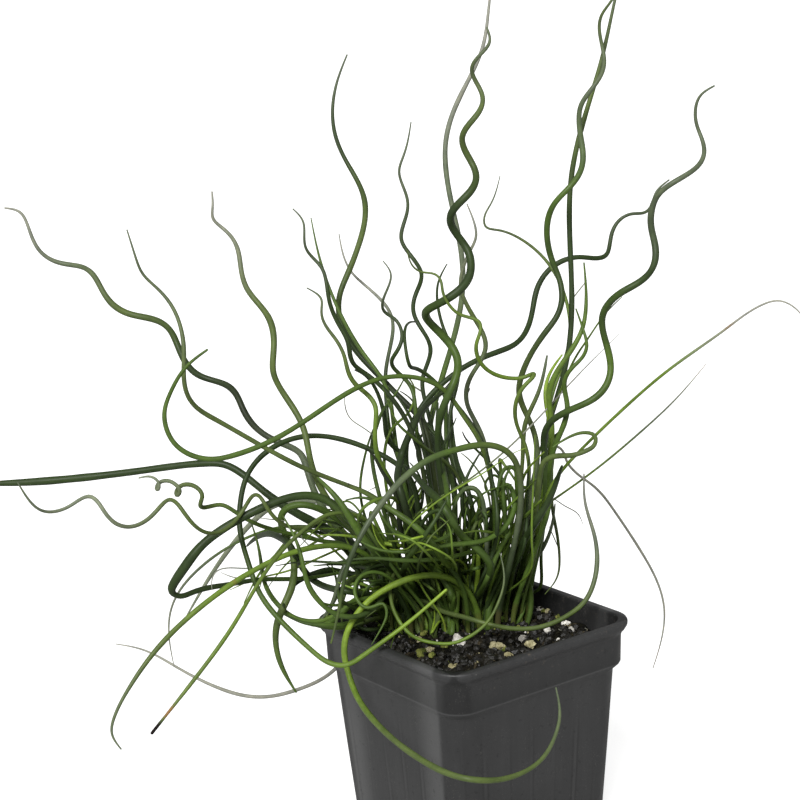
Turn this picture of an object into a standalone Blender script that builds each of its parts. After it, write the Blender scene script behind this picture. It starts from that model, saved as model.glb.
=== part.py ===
# Potted soft rush of the corkscrew kind: a square black nursery pot, its soil, and one
# object for every stem. Metres, +Z up, origin at the middle of the pot's underside.
import math

import bmesh
import bpy
import numpy as np

# Pot: half widths are across the flats
rim_half = 0.0500
lip_height = 0.0034
band_half = 0.0470
band_low_half = 0.0466
band_height = 0.0184
step_height = 0.0028
body_half = 0.0449
foot_half = 0.0402
pot_height = 0.0920
wall = 0.0014
rim_corner = 0.0139
band_corner = 0.0102
body_corner = 0.0120
corner_steps = 4
drain_radius = 0.0040
drain_offset = 0.0215

# Soil: depths are below the rim
fit_gap = 0.0003
soil_edge_depth = 0.0095
crown_depth = 0.0080
lump_height = 0.0010

# The clump of stem feet on the soil, in the viewer's axes (across, toward)
crown_centre = (-0.0065, -0.0200)
crown_radii = (0.0310, 0.0190)
foot_spacing = 0.0050
foot_shift = (-0.0025, 0.0)

# The viewer whose picture the stem routes were drawn on: an 800 pixel square image
view_azimuth = math.radians(-36.50)
view_elevation = math.radians(14.10)
view_roll = math.radians(-2.68)
view_distance = 0.9188
view_right = -0.02555
view_up = 0.09224
focal_pixels = 2200.0
image_centre = 400.0
pixels_per_metre = 2394.0

# Stem tubes
stem_gap = 0.0008
path_step = 0.0025
bend_tolerance = 0.00040
longest_run = 0.030
tube_sides_resolution = 0

# Every stem: tip-first route in pixels of the picture, thickness in mm, foot (across,
# toward) in mm on the soil, depths toward the viewer in mm at even steps from the tip to
# the foot, and how much of a sideways wave is repeated in depth to make it a corkscrew.
stems = {
    "far_left_stem": dict(
        route=[(5, 208), (20, 212), (29, 229), (39, 250), (60, 263), (87, 269), (101, 288),
               (120, 310), (152, 319), (170, 330), (182, 356), (200, 376), (231, 388),
               (247, 417), (276, 441), (300, 453), (308, 473), (322, 506), (350, 540)],
        thick=2.9, foot=(-25, -24), depth=(-80, -60, -35), curl=0.8),
    "upper_left_thin_stem": dict(
        route=[(127, 230), (134, 250), (140, 270), (160, 291), (174, 310), (182, 333),
               (184, 355), (184, 380), (190, 400), (204, 413), (224, 424), (255, 442),
               (304, 468), (332, 479), (357, 489), (388, 510)],
        thick=2.0, foot=(-18, -12), depth=(45, 40, 22), curl=0.8),
    "left_bow_stem": dict(
        route=[(207, 350), (193, 359), (181, 375), (167, 400), (164.5, 416), (168, 433),
               (179, 448), (196, 457), (214, 459), (258, 447), (306, 420), (353, 390),
               (379, 379), (404, 376), (424, 380), (442, 388), (465, 418), (478, 438),
               (489, 470), (497, 520)],
        thick=2.2, foot=(13, -20), depth=(62, 58, 40, 20), curl=0.0),
    "olive_corkscrew_stem": dict(
        route=[(212, 192), (213.5, 203), (212, 217), (226, 231), (238, 250), (242, 275),
               (251, 295), (266, 313), (274, 340), (273, 370), (282, 391), (303, 427),
               (311, 463), (325, 495), (343, 519), (362, 540)],
        thick=2.7, foot=(-20, -6), depth=(-10, 5, 12), curl=0.9),
    "tall_dark_stem": dict(
        route=[(347, 55), (342, 68), (337, 82), (333.5, 98), (332.5, 114), (334, 130), (342, 153),
               (353, 173), (362, 191), (365.5, 210), (363, 230), (357, 250), (348, 273),
               (341, 291), (338, 306), (342, 324), (350, 343), (364, 359), (391, 389),
               (422, 422), (433, 470)],
        thick=2.6, foot=(-3, -26), depth=(-75, -55, -30), curl=1.0),
    "slim_left_corkscrew": dict(
        route=[(293, 209), (300, 215), (304, 226), (305, 246), (311, 256), (322, 268),
               (327, 287), (329, 300), (337, 321), (349, 345), (352, 362), (373, 379),
               (400, 410), (418, 450)],
        thick=2.0, foot=(-9, -18), depth=(25, 22, 10), curl=1.0),
    "slim_left_companion": dict(
        route=[(311, 218), (314, 232), (319, 256), (322.5, 267), (327, 282), (338, 307),
               (351, 335), (370, 362), (388, 392), (394, 430), (402, 475)],
        thick=1.8, foot=(-12, -30), depth=(-40, -30, -15), curl=1.0),
    "yellow_green_corkscrew": dict(
        route=[(307, 288), (312, 293), (321, 296), (321.5, 315), (334, 337), (344, 355),
               (352, 380), (372, 399), (376, 412), (375, 437), (379, 460), (392, 485)],
        thick=1.9, foot=(-14, -12), depth=(42, 36, 20), curl=0.9),
    "faint_middle_stem": dict(
        route=[(339, 234), (341, 246), (347, 265), (358, 279), (382, 301), (392, 318),
               (392, 338), (386, 369), (386, 400), (392, 440), (405, 480)],
        thick=1.7, foot=(-16, -26), depth=(-60, -45, -20), curl=1.0),
    "middle_corkscrew": dict(
        route=[(383, 261), (389, 268), (391, 279), (383, 300), (384, 312), (394, 318),
               (402, 333), (398, 350), (391, 363), (403, 377), (413, 392), (416, 420),
               (420, 455)],
        thick=1.8, foot=(-6, -34), depth=(10, 0, -8), curl=1.0),
    "upright_thin_corkscrew": dict(
        route=[(411, 122), (408, 135), (406, 150), (399, 172), (408, 204), (401, 235),
               (408, 252), (420, 269), (421, 281), (413, 304), (419, 325), (430, 345),
               (428, 362), (422, 383), (425, 400), (432, 430), (437, 470)],
        thick=2.0, foot=(0, -38), depth=(-105, -80, -50), curl=1.0),
    "hooked_green_stem": dict(
        route=[(407, 250), (410, 262), (421, 272), (438, 275), (442, 288), (447, 302),
               (463, 316), (478, 320), (481, 329), (476, 345), (479, 360), (490, 372),
               (508, 378), (525, 377), (536, 373), (528, 382), (518, 396), (515, 415),
               (521, 436), (528, 455), (526, 500)],
        thick=1.7, foot=(17, -13), depth=(50, 46, 34, 16), curl=0.7),
    "short_middle_stem": dict(
        route=[(447, 264), (441, 273), (437, 291), (438, 306), (446, 335), (455, 356),
               (458, 380), (452, 402), (450, 440), (456, 470), (468, 510)],
        thick=1.9, foot=(6, -16), depth=(-30, -24, -12), curl=0.6),
    "curling_centre_stem": dict(
        route=[(467, 204), (474, 222), (476, 237), (469, 253), (462, 272), (461, 290),
               (468, 307), (480, 328), (486, 345), (480, 362), (470, 378), (466, 395),
               (470, 412), (480, 430), (486, 452), (493, 490), (499, 530)],
        thick=2.0, foot=(9, -28), depth=(20, 12, 0), curl=1.0),
    "blurred_tall_stem": dict(
        route=[(494, -40), (491, -10), (488, 15), (483, 46), (465, 87), (448, 128),
               (445.4, 153), (447, 179), (456, 224), (462.5, 265), (460, 311), (448, 357),
               (436, 400), (428, 440), (432, 490)],
        thick=2.6, foot=(4, -40), depth=(-150, -120, -70), curl=0.3),
    "dark_wavy_stem": dict(
        route=[(487, 28), (490.6, 38), (484, 51), (471.4, 68), (479, 87), (483, 101),
               (476, 116), (462, 137), (469, 158), (476, 174), (471, 191), (450, 218),
               (466, 247), (471, 265), (466, 283), (438, 304), (425, 314), (446, 339),
               (458, 367), (446, 400), (438, 430), (441, 480)],
        thick=3.1, foot=(0, -10), depth=(52, 46, 25), curl=1.0),
    "tall_straight_stem": dict(
        route=[(627, -48), (621, -20), (614, 3), (603, 54), (587.5, 107), (576, 153),
               (570, 188), (569.5, 224), (571.5, 270), (571, 319), (566, 365), (553, 410),
               (543, 455), (540, 520)],
        thick=3.0, foot=(25, -22), depth=(20, 12, 4), curl=0.0),
    "tall_twining_stem": dict(
        route=[(622, -22), (612, 0), (601.5, 15), (599.5, 33), (603, 50), (604, 66),
               (597, 82), (582, 103), (579, 122), (582, 145), (583, 160), (577, 178),
               (560, 197), (550, 212), (547, 235), (550.5, 256), (558, 275), (562, 296),
               (557, 316), (541, 338), (528, 360), (520, 381), (520, 398), (530, 422),
               (537, 445), (533, 490)],
        thick=2.5, foot=(20, -30), depth=(28, 24, 18, 0), curl=1.0),
    "right_curly_stem": dict(
        route=[(714, 86), (707, 88), (699, 98), (695, 113), (697, 126), (703, 142),
               (704, 155), (697, 167), (676, 181), (658, 195), (651, 214), (652, 232),
               (656, 252), (651, 271), (638, 283), (619, 294), (605, 309), (602, 325),
               (608, 350), (610.5, 372), (604, 389), (590, 401), (560, 415), (545, 432),
               (546, 480)],
        thick=3.0, foot=(26, -16), depth=(60, 62, 52, 26), curl=0.9),
    "right_kinked_stem": dict(
        route=[(669, 180), (658, 189), (652, 203), (647, 212), (630, 214), (617, 223),
               (610, 240), (608.5, 252), (601, 258), (580, 257), (562, 261), (547, 272),
               (536, 292), (531, 318), (519, 341), (500, 351), (480, 359), (458, 371),
               (430, 396), (414, 420), (406, 450), (412, 495)],
        thick=2.5, foot=(-9, -38), depth=(-80, -70, -50, -40), curl=0.4),
    "bent_pale_stem": dict(
        route=[(500, 176), (494, 197), (484, 218), (484, 226), (502, 231), (527, 243),
               (548, 263), (561, 285), (567, 305), (570, 335), (560, 372), (551, 400),
               (548, 440), (550, 490)],
        thick=1.5, foot=(15, -36), depth=(-40, -35, -22), curl=0.2),
    "sliver_stem": dict(
        route=[(584, 263), (585, 285), (586, 300), (585, 318), (579, 337), (566, 358),
               (552, 382), (549, 402), (552, 425), (548, 470)],
        thick=2.4, foot=(29, -27), depth=(32, 30, 15), curl=0.3),
    "twisted_right_stem": dict(
        route=[(576, 309), (580, 318), (584, 332), (587, 346), (582, 358), (571, 369),
               (564, 383), (567, 401), (566, 418), (559, 436), (551, 460), (545, 510)],
        thick=2.2, foot=(22, -10), depth=(40, 38, 20), curl=0.8),
    "pale_short_stem": dict(
        route=[(547, 356), (543, 376), (537, 396), (530, 412), (524, 428), (523, 450),
               (518, 500)],
        thick=1.3, foot=(12, -12), depth=(8, 4, 0), curl=0.0),
    "long_right_stem": dict(
        route=[(812, 332), (800, 315), (790, 304), (778, 300.5), (766, 303), (750, 312),
               (720, 333), (670, 369), (630, 403), (598, 432), (563, 470), (549, 492),
               (541, 530)],
        thick=1.6, foot=(27, -10), depth=(95, 70, 35), curl=0.0),
    "lower_right_thin_stem": dict(
        route=[(706, 364), (690, 384), (660, 414), (620, 450), (584, 478), (553, 500),
               (526, 525), (510, 560)],
        thick=1.4, foot=(11, -38), depth=(-95, -70, -45), curl=0.0),
    "crossing_hair_stem": dict(
        route=[(619, 334), (590, 362), (548, 408), (510, 446), (470, 479), (440, 497),
               (416, 516), (405, 545)],
        thick=1.2, foot=(-13, -2), depth=(15, 22, 22), curl=0.0),
    "drooping_right_stem": dict(
        route=[(653, 668), (660, 645), (664.5, 617), (660, 589), (645, 558), (622, 522),
               (601.5, 494), (586, 480), (568, 464), (561, 448), (552, 447), (546, 468),
               (541, 520)],
        thick=1.4, foot=(28, -38), depth=(-100, -80, -50, -35), curl=0.0),
    "arc_over_soil": dict(
        route=[(584, 474), (584, 497), (591, 522), (597, 553), (595, 578), (586, 600),
               (570, 614), (548, 625), (520, 629), (492, 625), (462, 617), (436, 609),
               (418, 600)],
        thick=2.1, foot=(-26, -14), depth=(-5, 2, 10, 14), curl=0.0),
    "front_hanging_loop": dict(
        route=[(556, 688), (560, 705), (558, 725), (550, 748), (534, 766), (508, 778),
               (476, 780), (442, 771), (404, 748), (379, 726), (359, 700), (348, 672),
               (344, 648), (349, 628), (364, 606), (388, 588), (418, 576), (446, 577),
               (468, 592)],
        thick=2.9, foot=(6, -4), depth=(52, 70, 92, 62, 18, 22, 14), curl=0.0),
    "big_left_loop": dict(
        route=[(446, 590), (430, 605), (405, 625), (378, 646), (352, 662), (338, 666),
               (318, 655), (297, 638), (276, 615), (258, 590), (247, 558), (240, 530),
               (242, 492), (252, 467), (272, 448), (300, 437), (330, 437), (362, 446),
               (392, 461), (412, 482), (420, 530)],
        thick=2.3, foot=(-15, -20), depth=(34, 36, 24, 6, -8, -8), curl=0.0),
    "thin_soil_loop": dict(
        route=[(500, 553), (504, 570), (503, 588), (495, 610), (484, 626), (465, 639),
               (446, 644), (425, 641), (407, 632), (396, 614), (390, 592), (396, 570)],
        thick=1.5, foot=(-29, -8), depth=(22, 26, 24, 14), curl=0.0),
    "grey_arch_stem": dict(
        route=[(331, 643), (337, 625), (340, 600), (345, 575), (354, 550), (368, 523),
               (386, 498), (406, 476), (430, 459), (455, 450), (481, 445), (501, 448),
               (514, 459), (520, 478), (521, 500), (517, 530)],
        thick=2.8, foot=(14, -4), depth=(70, 72, 58, 28), curl=0.0),
    "thick_left_stem": dict(
        route=[(-22, 484), (0, 482), (38, 482), (80, 478), (128, 472), (180, 466),
               (222, 464), (245, 476), (270, 496), (296, 513), (320, 526), (348, 543),
               (372, 565)],
        thick=3.2, foot=(-27, -30), depth=(-45, -35, -20), curl=0.0),
    "left_wavy_stem": dict(
        route=[(18, 483), (28, 499), (40, 510), (52, 512), (70, 506), (88, 496), (98, 502),
               (110, 519), (128, 527), (147, 520), (160, 507), (170, 499), (180, 507),
               (193, 524), (207, 533), (220, 532), (237, 519), (250, 499), (257, 494),
               (266, 506), (281, 523), (300, 528), (318, 522), (336, 512), (360, 520),
               (378, 545)],
        thick=1.6, foot=(-22, -3), depth=(60, 52, 40, 20), curl=0.9),
    "small_corkscrew_stem": dict(
        route=[(139, 478), (147, 475), (155, 479), (160, 486), (157, 491), (156, 485),
               (163, 481), (171, 481), (178, 487), (180, 494), (176, 496), (178, 488),
               (186, 484), (196, 487), (203, 497), (199, 507), (212, 506), (224, 505),
               (238, 514), (262, 526), (300, 536), (340, 545), (370, 560)],
        thick=1.8, foot=(-32, -18), depth=(34, 24, 8), curl=0.8),
    "thick_bent_stem": dict(
        route=[(350, 571), (332, 573), (306, 577), (280, 580), (252, 580), (222, 586),
               (194, 592), (176, 596), (171, 591), (178, 577), (194, 554), (214, 535),
               (240, 519), (268, 505), (292, 497), (314, 496), (336, 505), (362, 527),
               (384, 555)],
        thick=3.3, foot=(-24, -9), depth=(-20, 0, 30, 28, 18), curl=0.0),
    "long_lower_left_arc": dict(
        route=[(121, 749), (113, 739), (112, 727), (117, 710), (131, 685), (152, 655),
               (180, 625), (212, 598), (246, 575), (281, 557), (310, 548), (342, 546),
               (374, 560)],
        thick=2.3, foot=(-30, -13), depth=(52, 46, 34, 14), curl=0.0),
    "brown_tipped_stem": dict(
        route=[(152, 733), (165, 717), (189, 686), (219, 647), (242, 611), (256, 587),
               (270, 565), (288, 545), (310, 525), (336, 513), (364, 522), (384, 548)],
        thick=1.6, foot=(-19, -17), depth=(74, 62, 34), curl=0.0),
    "faint_low_stem": dict(
        route=[(116, 644), (135, 647), (158, 657), (191, 675), (224, 690), (258, 697),
               (290, 692), (316, 682), (338, 666), (360, 625), (380, 573), (400, 535),
               (420, 545)],
        thick=1.8, foot=(-10, -39), depth=(-150, -125, -90, -50), curl=0.0),
    "thin_grey_stem": dict(
        route=[(174, 666), (170, 648), (169, 625), (173, 603), (188, 580), (212, 558),
               (240, 541), (268, 530), (300, 526), (340, 532), (375, 548)],
        thick=1.3, foot=(-20, -36), depth=(-70, -58, -34), curl=0.0),
    "blurred_left_stem": dict(
        route=[(184, 621), (196, 599), (212, 574), (230, 548), (247, 528), (270, 508),
               (306, 500), (350, 512), (385, 540)],
        thick=2.6, foot=(-14, -38), depth=(-150, -110, -60), curl=0.0),
    "loop_left_of_pot": dict(
        route=[(296, 692), (286, 676), (278, 655), (275.5, 638), (279, 617), (288, 597),
               (294, 575), (292, 552), (284, 532), (281, 515), (296, 505), (322, 510),
               (352, 530), (378, 562)],
        thick=2.4, foot=(-28, -20), depth=(4, 12, 6, -6), curl=0.6),
    "short_rim_stem": dict(
        route=[(283, 614), (300, 622), (320, 625), (342, 625), (364, 618), (384, 606)],
        thick=2.0, foot=(-30, -5), depth=(26, 26, 14), curl=0.0),
    "small_right_loop": dict(
        route=[(553, 447), (566, 438), (582, 433), (594, 434), (597, 440), (591, 448),
               (574, 455), (556, 456), (544, 462), (537, 500)],
        thick=2.3, foot=(23, -34), depth=(52, 48, 24), curl=0.0),
    "thin_back_droop": dict(
        route=[(545, 594), (553, 585), (558, 575), (559.5, 558), (558, 538), (553, 514),
               (549, 490), (543, 486), (538, 510)],
        thick=1.4, foot=(30, -33), depth=(-14, -12, -14), curl=0.0),
    "short_straight_stem": dict(
        route=[(547, 516), (543, 545), (541, 570), (539, 590)],
        thick=1.5, foot=(30, -40), depth=(-20, -24), curl=0.0),
    "left_rim_stem": dict(
        route=[(321, 620), (329, 611), (335, 595), (341, 575), (352, 557), (370, 546),
               (388, 556)],
        thick=2.6, foot=(-33, -12), depth=(6, 8, 0), curl=0.0),
    "left_slant_stem": dict(
        route=[(244, 603), (254, 584), (270, 560), (290, 543), (318, 522), (340, 524),
               (366, 540)],
        thick=1.6, foot=(-17, -32), depth=(-30, -24, -18), curl=0.0),
    "olive_rim_stem": dict(
        route=[(283, 516), (296, 540), (303, 565), (308, 584), (320, 602), (336, 614),
               (356, 616), (378, 604), (392, 590)],
        thick=2.2, foot=(-25, -6), depth=(30, 36, 30, 16), curl=0.0),
    "long_nest_arc": dict(
        route=[(352, 536), (374, 548), (398, 552), (424, 549), (448, 545), (472, 543),
               (494, 536), (510, 520), (514, 500), (506, 484), (496, 492), (495, 520)],
        thick=2.1, foot=(10, -8), depth=(40, 40, 22, 4), curl=0.0),
    "low_nest_arc": dict(
        route=[(336, 562), (366, 558), (396, 560), (426, 560), (456, 556), (480, 552),
               (494, 560), (496, 580)],
        thick=1.9, foot=(14, -16), depth=(46, 42, 18), curl=0.0),
    "curled_nest_stem": dict(
        route=[(376, 500), (384, 520), (400, 534), (422, 541), (444, 538), (456, 526),
               (452, 514), (438, 510), (424, 520), (418, 545), (424, 575)],
        thick=1.7, foot=(-7, -5), depth=(52, 48, 26), curl=0.6),
    "front_nest_stem": dict(
        route=[(396, 498), (388, 514), (392, 530), (410, 542), (434, 554), (452, 570),
               (464, 592)],
        thick=2.0, foot=(1, -2), depth=(30, 32, 16), curl=0.0),
    "crossing_nest_stem": dict(
        route=[(346, 500), (362, 497), (380, 505), (400, 514), (420, 524), (438, 538),
               (450, 556), (456, 580)],
        thick=2.0, foot=(-4, -14), depth=(14, 14, 4), curl=0.0),
    "small_arch_stem": dict(
        route=[(452, 540), (452, 516), (458, 497), (468, 487), (478, 491), (484, 508),
               (486, 535), (486, 570)],
        thick=1.9, foot=(7, -10), depth=(30, 30, 14), curl=0.3),
    "inner_arch_stem": dict(
        route=[(497, 512), (499, 488), (505, 470), (513, 466), (517, 482), (517, 508),
               (513, 545), (508, 580)],
        thick=2.0, foot=(17, -26), depth=(14, 10, -4), curl=0.0),
    "rim_curl_stem": dict(
        route=[(372, 650), (380, 632), (387, 614), (383, 603), (370, 608), (357, 600),
               (356, 582), (370, 572), (390, 578)],
        thick=1.5, foot=(-25, 0), depth=(28, 26, 16), curl=0.0),
}


def viewer():
    """Eye place and the three directions of the viewer, in a frame at the rim's middle."""
    back = np.array([
        math.sin(view_azimuth) * math.cos(view_elevation),
        -math.cos(view_azimuth) * math.cos(view_elevation),
        math.sin(view_elevation),
    ])
    across = np.array([math.cos(view_azimuth), math.sin(view_azimuth), 0.0])
    up = np.cross(back, across)
    eye = across * view_right + up * view_up + back * view_distance
    turned_across = math.cos(view_roll) * across + math.sin(view_roll) * up
    turned_up = -math.sin(view_roll) * across + math.cos(view_roll) * up
    return eye, back, turned_across, turned_up


eye, back, picture_across, picture_up = viewer()
rim_centre = np.array([0.0, 0.0, pot_height])
ground_across = np.array([math.cos(view_azimuth), math.sin(view_azimuth)])
ground_toward = np.array([math.sin(view_azimuth), -math.cos(view_azimuth)])


def to_picture(points):
    """Pixels of points in the pot's frame."""
    ray = points - rim_centre - eye
    away = -(ray @ back)
    column = image_centre + focal_pixels * (ray @ picture_across) / away
    row = image_centre - focal_pixels * (ray @ picture_up) / away
    return np.stack([column, row], -1)


def from_picture(pixels, toward):
    """Points in the pot's frame that show at the pixels, at the given depths."""
    away = (view_distance - toward)[:, None]
    across = picture_across * (pixels[:, :1] - image_centre) / focal_pixels
    up = picture_up * (image_centre - pixels[:, 1:]) / focal_pixels
    return rim_centre + eye + away * (across + up - back)


def smooth_curve(points, count):
    """Even samples of a natural cubic spline through the points."""
    chords = np.linalg.norm(np.diff(points, axis=0), axis=1)
    knots = np.concatenate([[0.0], np.cumsum(np.sqrt(chords))])
    gaps = np.diff(knots)
    size = len(points)
    system = np.eye(size)
    target = np.zeros_like(points)
    slopes = np.diff(points, axis=0) / gaps[:, None]
    for i in range(1, size - 1):
        system[i, i - 1:i + 2] = gaps[i - 1], 2 * (gaps[i - 1] + gaps[i]), gaps[i]
        target[i] = 6 * (slopes[i] - slopes[i - 1])
    bends = np.linalg.solve(system, target)
    at = np.linspace(0, knots[-1], 60 * size)
    piece = np.clip(np.searchsorted(knots, at, side="right") - 1, 0, size - 2)
    gap = gaps[piece][:, None]
    left = (knots[piece + 1] - at)[:, None]
    right = (at - knots[piece])[:, None]
    fine = (bends[piece] * left ** 3 + bends[piece + 1] * right ** 3) / (6 * gap)
    fine += (points[piece] / gap - bends[piece] * gap / 6) * left
    fine += (points[piece + 1] / gap - bends[piece + 1] * gap / 6) * right
    return even_samples(fine, count)


def even_samples(line, count):
    """The polyline resampled at equal steps."""
    steps = np.linalg.norm(np.diff(line, axis=0), axis=1)
    run = np.concatenate([[0.0], np.cumsum(steps)])
    at = np.linspace(0, run[-1], count)
    return np.stack([np.interp(at, run, line[:, k]) for k in range(line.shape[1])], -1)


def blurred(line, reach):
    """The line smoothed along its length, with its ends held."""
    if reach < 1:
        return line
    size = int(3 * reach)
    weights = np.exp(-0.5 * (np.arange(-size, size + 1) / reach) ** 2)
    weights /= weights.sum()
    before = 2 * line[0] - line[size:0:-1] if len(line) > size else None
    if before is None:
        return line
    after = 2 * line[-1] - line[-2:-size - 2:-1]
    padded = np.concatenate([before, line, after])
    return np.stack(
        [np.convolve(padded[:, k], weights, "valid") for k in range(line.shape[1])], -1)


def quarter_turn_later(wave):
    """The wave shifted by a quarter of its period, which makes a sideways wave a helix."""
    size = len(wave)
    spectrum = np.fft.fft(np.concatenate([wave, -wave[::-1]]))
    signs = np.sign(np.fft.fftfreq(2 * size))
    return np.real(np.fft.ifft(-1j * signs * spectrum))[:size]


def settled_feet():
    """Foot places on the soil, spread until no two are closer than foot_spacing."""
    feet = np.array([stem["foot"] for stem in stems.values()]) * 0.001 + foot_shift
    middle = np.array(crown_centre)
    radii = np.array(crown_radii)
    for _ in range(400):
        apart = feet[:, None] - feet[None]
        distance = np.linalg.norm(apart, axis=-1) + np.eye(len(feet))
        push = np.clip(foot_spacing - distance, 0, None) * (1 - np.eye(len(feet)))
        feet += 0.35 * (apart / distance[..., None] * push[..., None]).sum(1)
        outside = np.linalg.norm((feet - middle) / radii, axis=1)
        far = outside > 1
        feet[far] = middle + (feet[far] - middle) / outside[far][:, None]
    ground = feet[:, :1] * ground_across + feet[:, 1:] * ground_toward
    return dict(zip(stems, ground))


def stem_path(stem, foot):
    """Centre line of a stem, foot first, as its route and depths give it."""
    start = np.array([foot[0], foot[1], pot_height - crown_depth + fit_gap])
    rise = start + np.array([0, 0, 0.006])
    ends = to_picture(np.stack([start, rise]))
    pixels = np.array(stem["route"][::-1], float)
    pixels = np.concatenate([ends[1:], pixels])
    length = np.linalg.norm(np.diff(pixels, axis=0), axis=1).sum()
    pixels = smooth_curve(pixels, max(12, int(length / 4)))
    reach = 14.0
    middle = blurred(pixels, reach) if len(pixels) > 3 * reach + 2 else pixels
    along = np.gradient(middle, axis=0)
    along /= np.linalg.norm(along, axis=1)[:, None] + 1e-9
    aside = (pixels - middle) @ np.array([[0, 1], [-1, 0]])
    wave = (aside * along).sum(1) / pixels_per_metre
    fade = np.clip(np.linspace(0, len(wave) / 12, len(wave)), 0, 1)
    helix = stem["curl"] * quarter_turn_later(wave) * fade
    start_depth = (rise - rim_centre) @ back
    keys = np.array(stem["depth"][::-1]) * 0.001
    keys = np.concatenate([[start_depth], keys])
    at = np.linspace(0, 1, len(pixels))
    toward = np.interp(at, np.linspace(0, 1, len(keys)), keys)
    toward = blurred(toward[:, None], len(toward) / (5 * len(keys)))[:, 0]
    space = from_picture(pixels, toward + helix)
    space = np.concatenate([[start], space])
    run = np.linalg.norm(np.diff(space, axis=0), axis=1).sum()
    return even_samples(space, max(8, int(run / path_step)))


def stem_radius(stem, count):
    """Radius along a stem: a little slimmer at the foot, drawn out to a point at the tip."""
    at = np.linspace(0, 1, count)
    foot_part = 0.82 + 0.18 * np.clip(at / 0.12, 0, 1)
    tip_part = np.clip((1 - at) / 0.28, 0, 1) ** 0.7
    return 0.0005 * stem["thick"] * foot_part * (0.28 + 0.72 * tip_part)


def wall_half(height):
    """Half width of the pot's outside at a height above its underside."""
    levels = [0, pot_height - band_height - step_height, pot_height - band_height,
              pot_height - lip_height, pot_height - 0.8 * lip_height, pot_height]
    halves = [foot_half, body_half, band_low_half, band_half, rim_half, rim_half]
    return np.interp(height, levels, halves)


def clear_of_pot(points, radii):
    """Steps that bring points out of the pot's wall and off the soil."""
    step = np.zeros_like(points)
    room = radii + stem_gap
    side = np.abs(points[:, :2])
    reach = side.max(1)
    corner = np.clip(side - (wall_half(points[:, 2]) - body_corner)[:, None], 0, None)
    outward = np.linalg.norm(corner, axis=1) - body_corner
    inside = reach < 0.040
    low = pot_height - crown_depth + room - points[:, 2]
    sunk = inside & (low > 0) & (points[:, 2] > 0.5 * pot_height)
    step[sunk] += back * (low[sunk] / back[2])[:, None] * 0.5
    step[sunk, 2] += 0.5 * low[sunk]
    in_wall = (outward < room) & (outward > -0.006 - room) & ~inside
    above = pot_height + room - points[:, 2]
    over = in_wall & (above > 0)
    lift = over & (above < 0.008)
    step[lift, 2] += above[lift]
    beside = over & ~lift
    away = corner[beside] * np.sign(points[beside, :2])
    away /= np.linalg.norm(away, axis=1)[:, None] + 1e-9
    step[beside, :2] += away * (room[beside] - outward[beside])[:, None]
    return step


def keep_apart(paths, radii):
    """Moves stems apart, mostly toward or away from the viewer, until none touch."""
    owner = np.concatenate([np.full(len(p), i) for i, p in enumerate(paths)])
    place = np.concatenate([np.arange(len(p)) for p in paths])
    radius = np.concatenate(radii)
    points = np.concatenate(paths)
    loose = np.clip((place - 1) / 6, 0, 1)[:, None]
    bounds = np.cumsum([0] + [len(p) for p in paths])
    sideways = np.eye(3) * 0.22 + np.outer(back, back) * 0.78
    for turn in range(160):
        short = points.astype(np.float32)
        square = (short ** 2).sum(1)
        near = square[:, None] + square[None] - 2 * short @ short.T
        need = (radius[:, None] + radius[None] + stem_gap).astype(np.float32)
        first, second = np.nonzero(near < need ** 2)
        apart_enough = (owner[first] == owner[second]) & (np.abs(place[first] - place[second]) < 5)
        first, second = first[~apart_enough], second[~apart_enough]
        offset = points[first] - points[second]
        distance = np.linalg.norm(offset, axis=1)
        push = radius[first] + radius[second] + stem_gap - distance
        good = push > 0
        first, second, offset = first[good], second[good], offset[good]
        push, distance = push[good], distance[good]
        lean = offset @ back
        lean = np.where(np.abs(lean) < 1e-5, np.where(owner[first] > owner[second], 1e-5, -1e-5), lean)
        direction = offset / (distance[:, None] + 1e-9) @ sideways
        direction += np.sign(lean)[:, None] * back * 0.6
        move = np.zeros_like(points)
        np.add.at(move, first, direction * push[:, None] * 0.45)
        count = np.zeros(len(points))
        np.add.at(count, first, 1)
        move /= np.clip(count, 1, None)[:, None] ** 0.5
        move = (move + clear_of_pot(points, radius) * 0.7) * loose
        for i in range(len(paths)):
            part = slice(bounds[i], bounds[i + 1])
            if np.abs(move[part]).max() > 0:
                reach = 3.0 if turn < 110 else 1.6
                spread = blurred(move[part], min(reach, len(paths[i]) / 5))
                points[part] += 1.5 * spread * loose[part]
        if turn % 20 == 19:
            print("stems still close:", len(first), "deepest", push.max() if len(push) else 0)
    return [points[bounds[i]:bounds[i + 1]] for i in range(len(paths))]


def thinned(path, radius):
    """Fewer points, closer together where the stem bends, and the radius at each."""
    step = np.linalg.norm(np.diff(path, axis=0), axis=1).mean()
    bend = np.zeros(len(path))
    second = path[2:] - 2 * path[1:-1] + path[:-2]
    bend[1:-1] = np.linalg.norm(second, axis=1) / step ** 2
    bend = blurred(bend[:, None], 1.5)[:, 0].clip(0)
    density = np.maximum(1 / longest_run, np.sqrt(bend / (8 * bend_tolerance)))
    total = np.concatenate([[0.0], np.cumsum(0.5 * (density[1:] + density[:-1]) * step)])
    count = max(5, int(math.ceil(total[-1])) + 1)
    at = np.interp(np.linspace(0, total[-1], count), total, np.arange(len(path)))
    at = np.concatenate([[0, 0.0022 / step], at[1:]])
    index = np.arange(len(path))
    points = np.stack([np.interp(at, index, path[:, k]) for k in range(3)], -1)
    points[1, :2] = points[0, :2]
    points[1, 2] = points[0, 2] + 0.0022
    return points, np.interp(at, index, radius)


def material(name, colour, roughness):
    made = bpy.data.materials.new(name)
    made.use_nodes = True
    shader = made.node_tree.nodes["Principled BSDF"]
    shader.inputs["Base Color"].default_value = (*colour, 1)
    shader.inputs["Roughness"].default_value = roughness
    shader.inputs["Metallic"].default_value = 0.0
    return made


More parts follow.
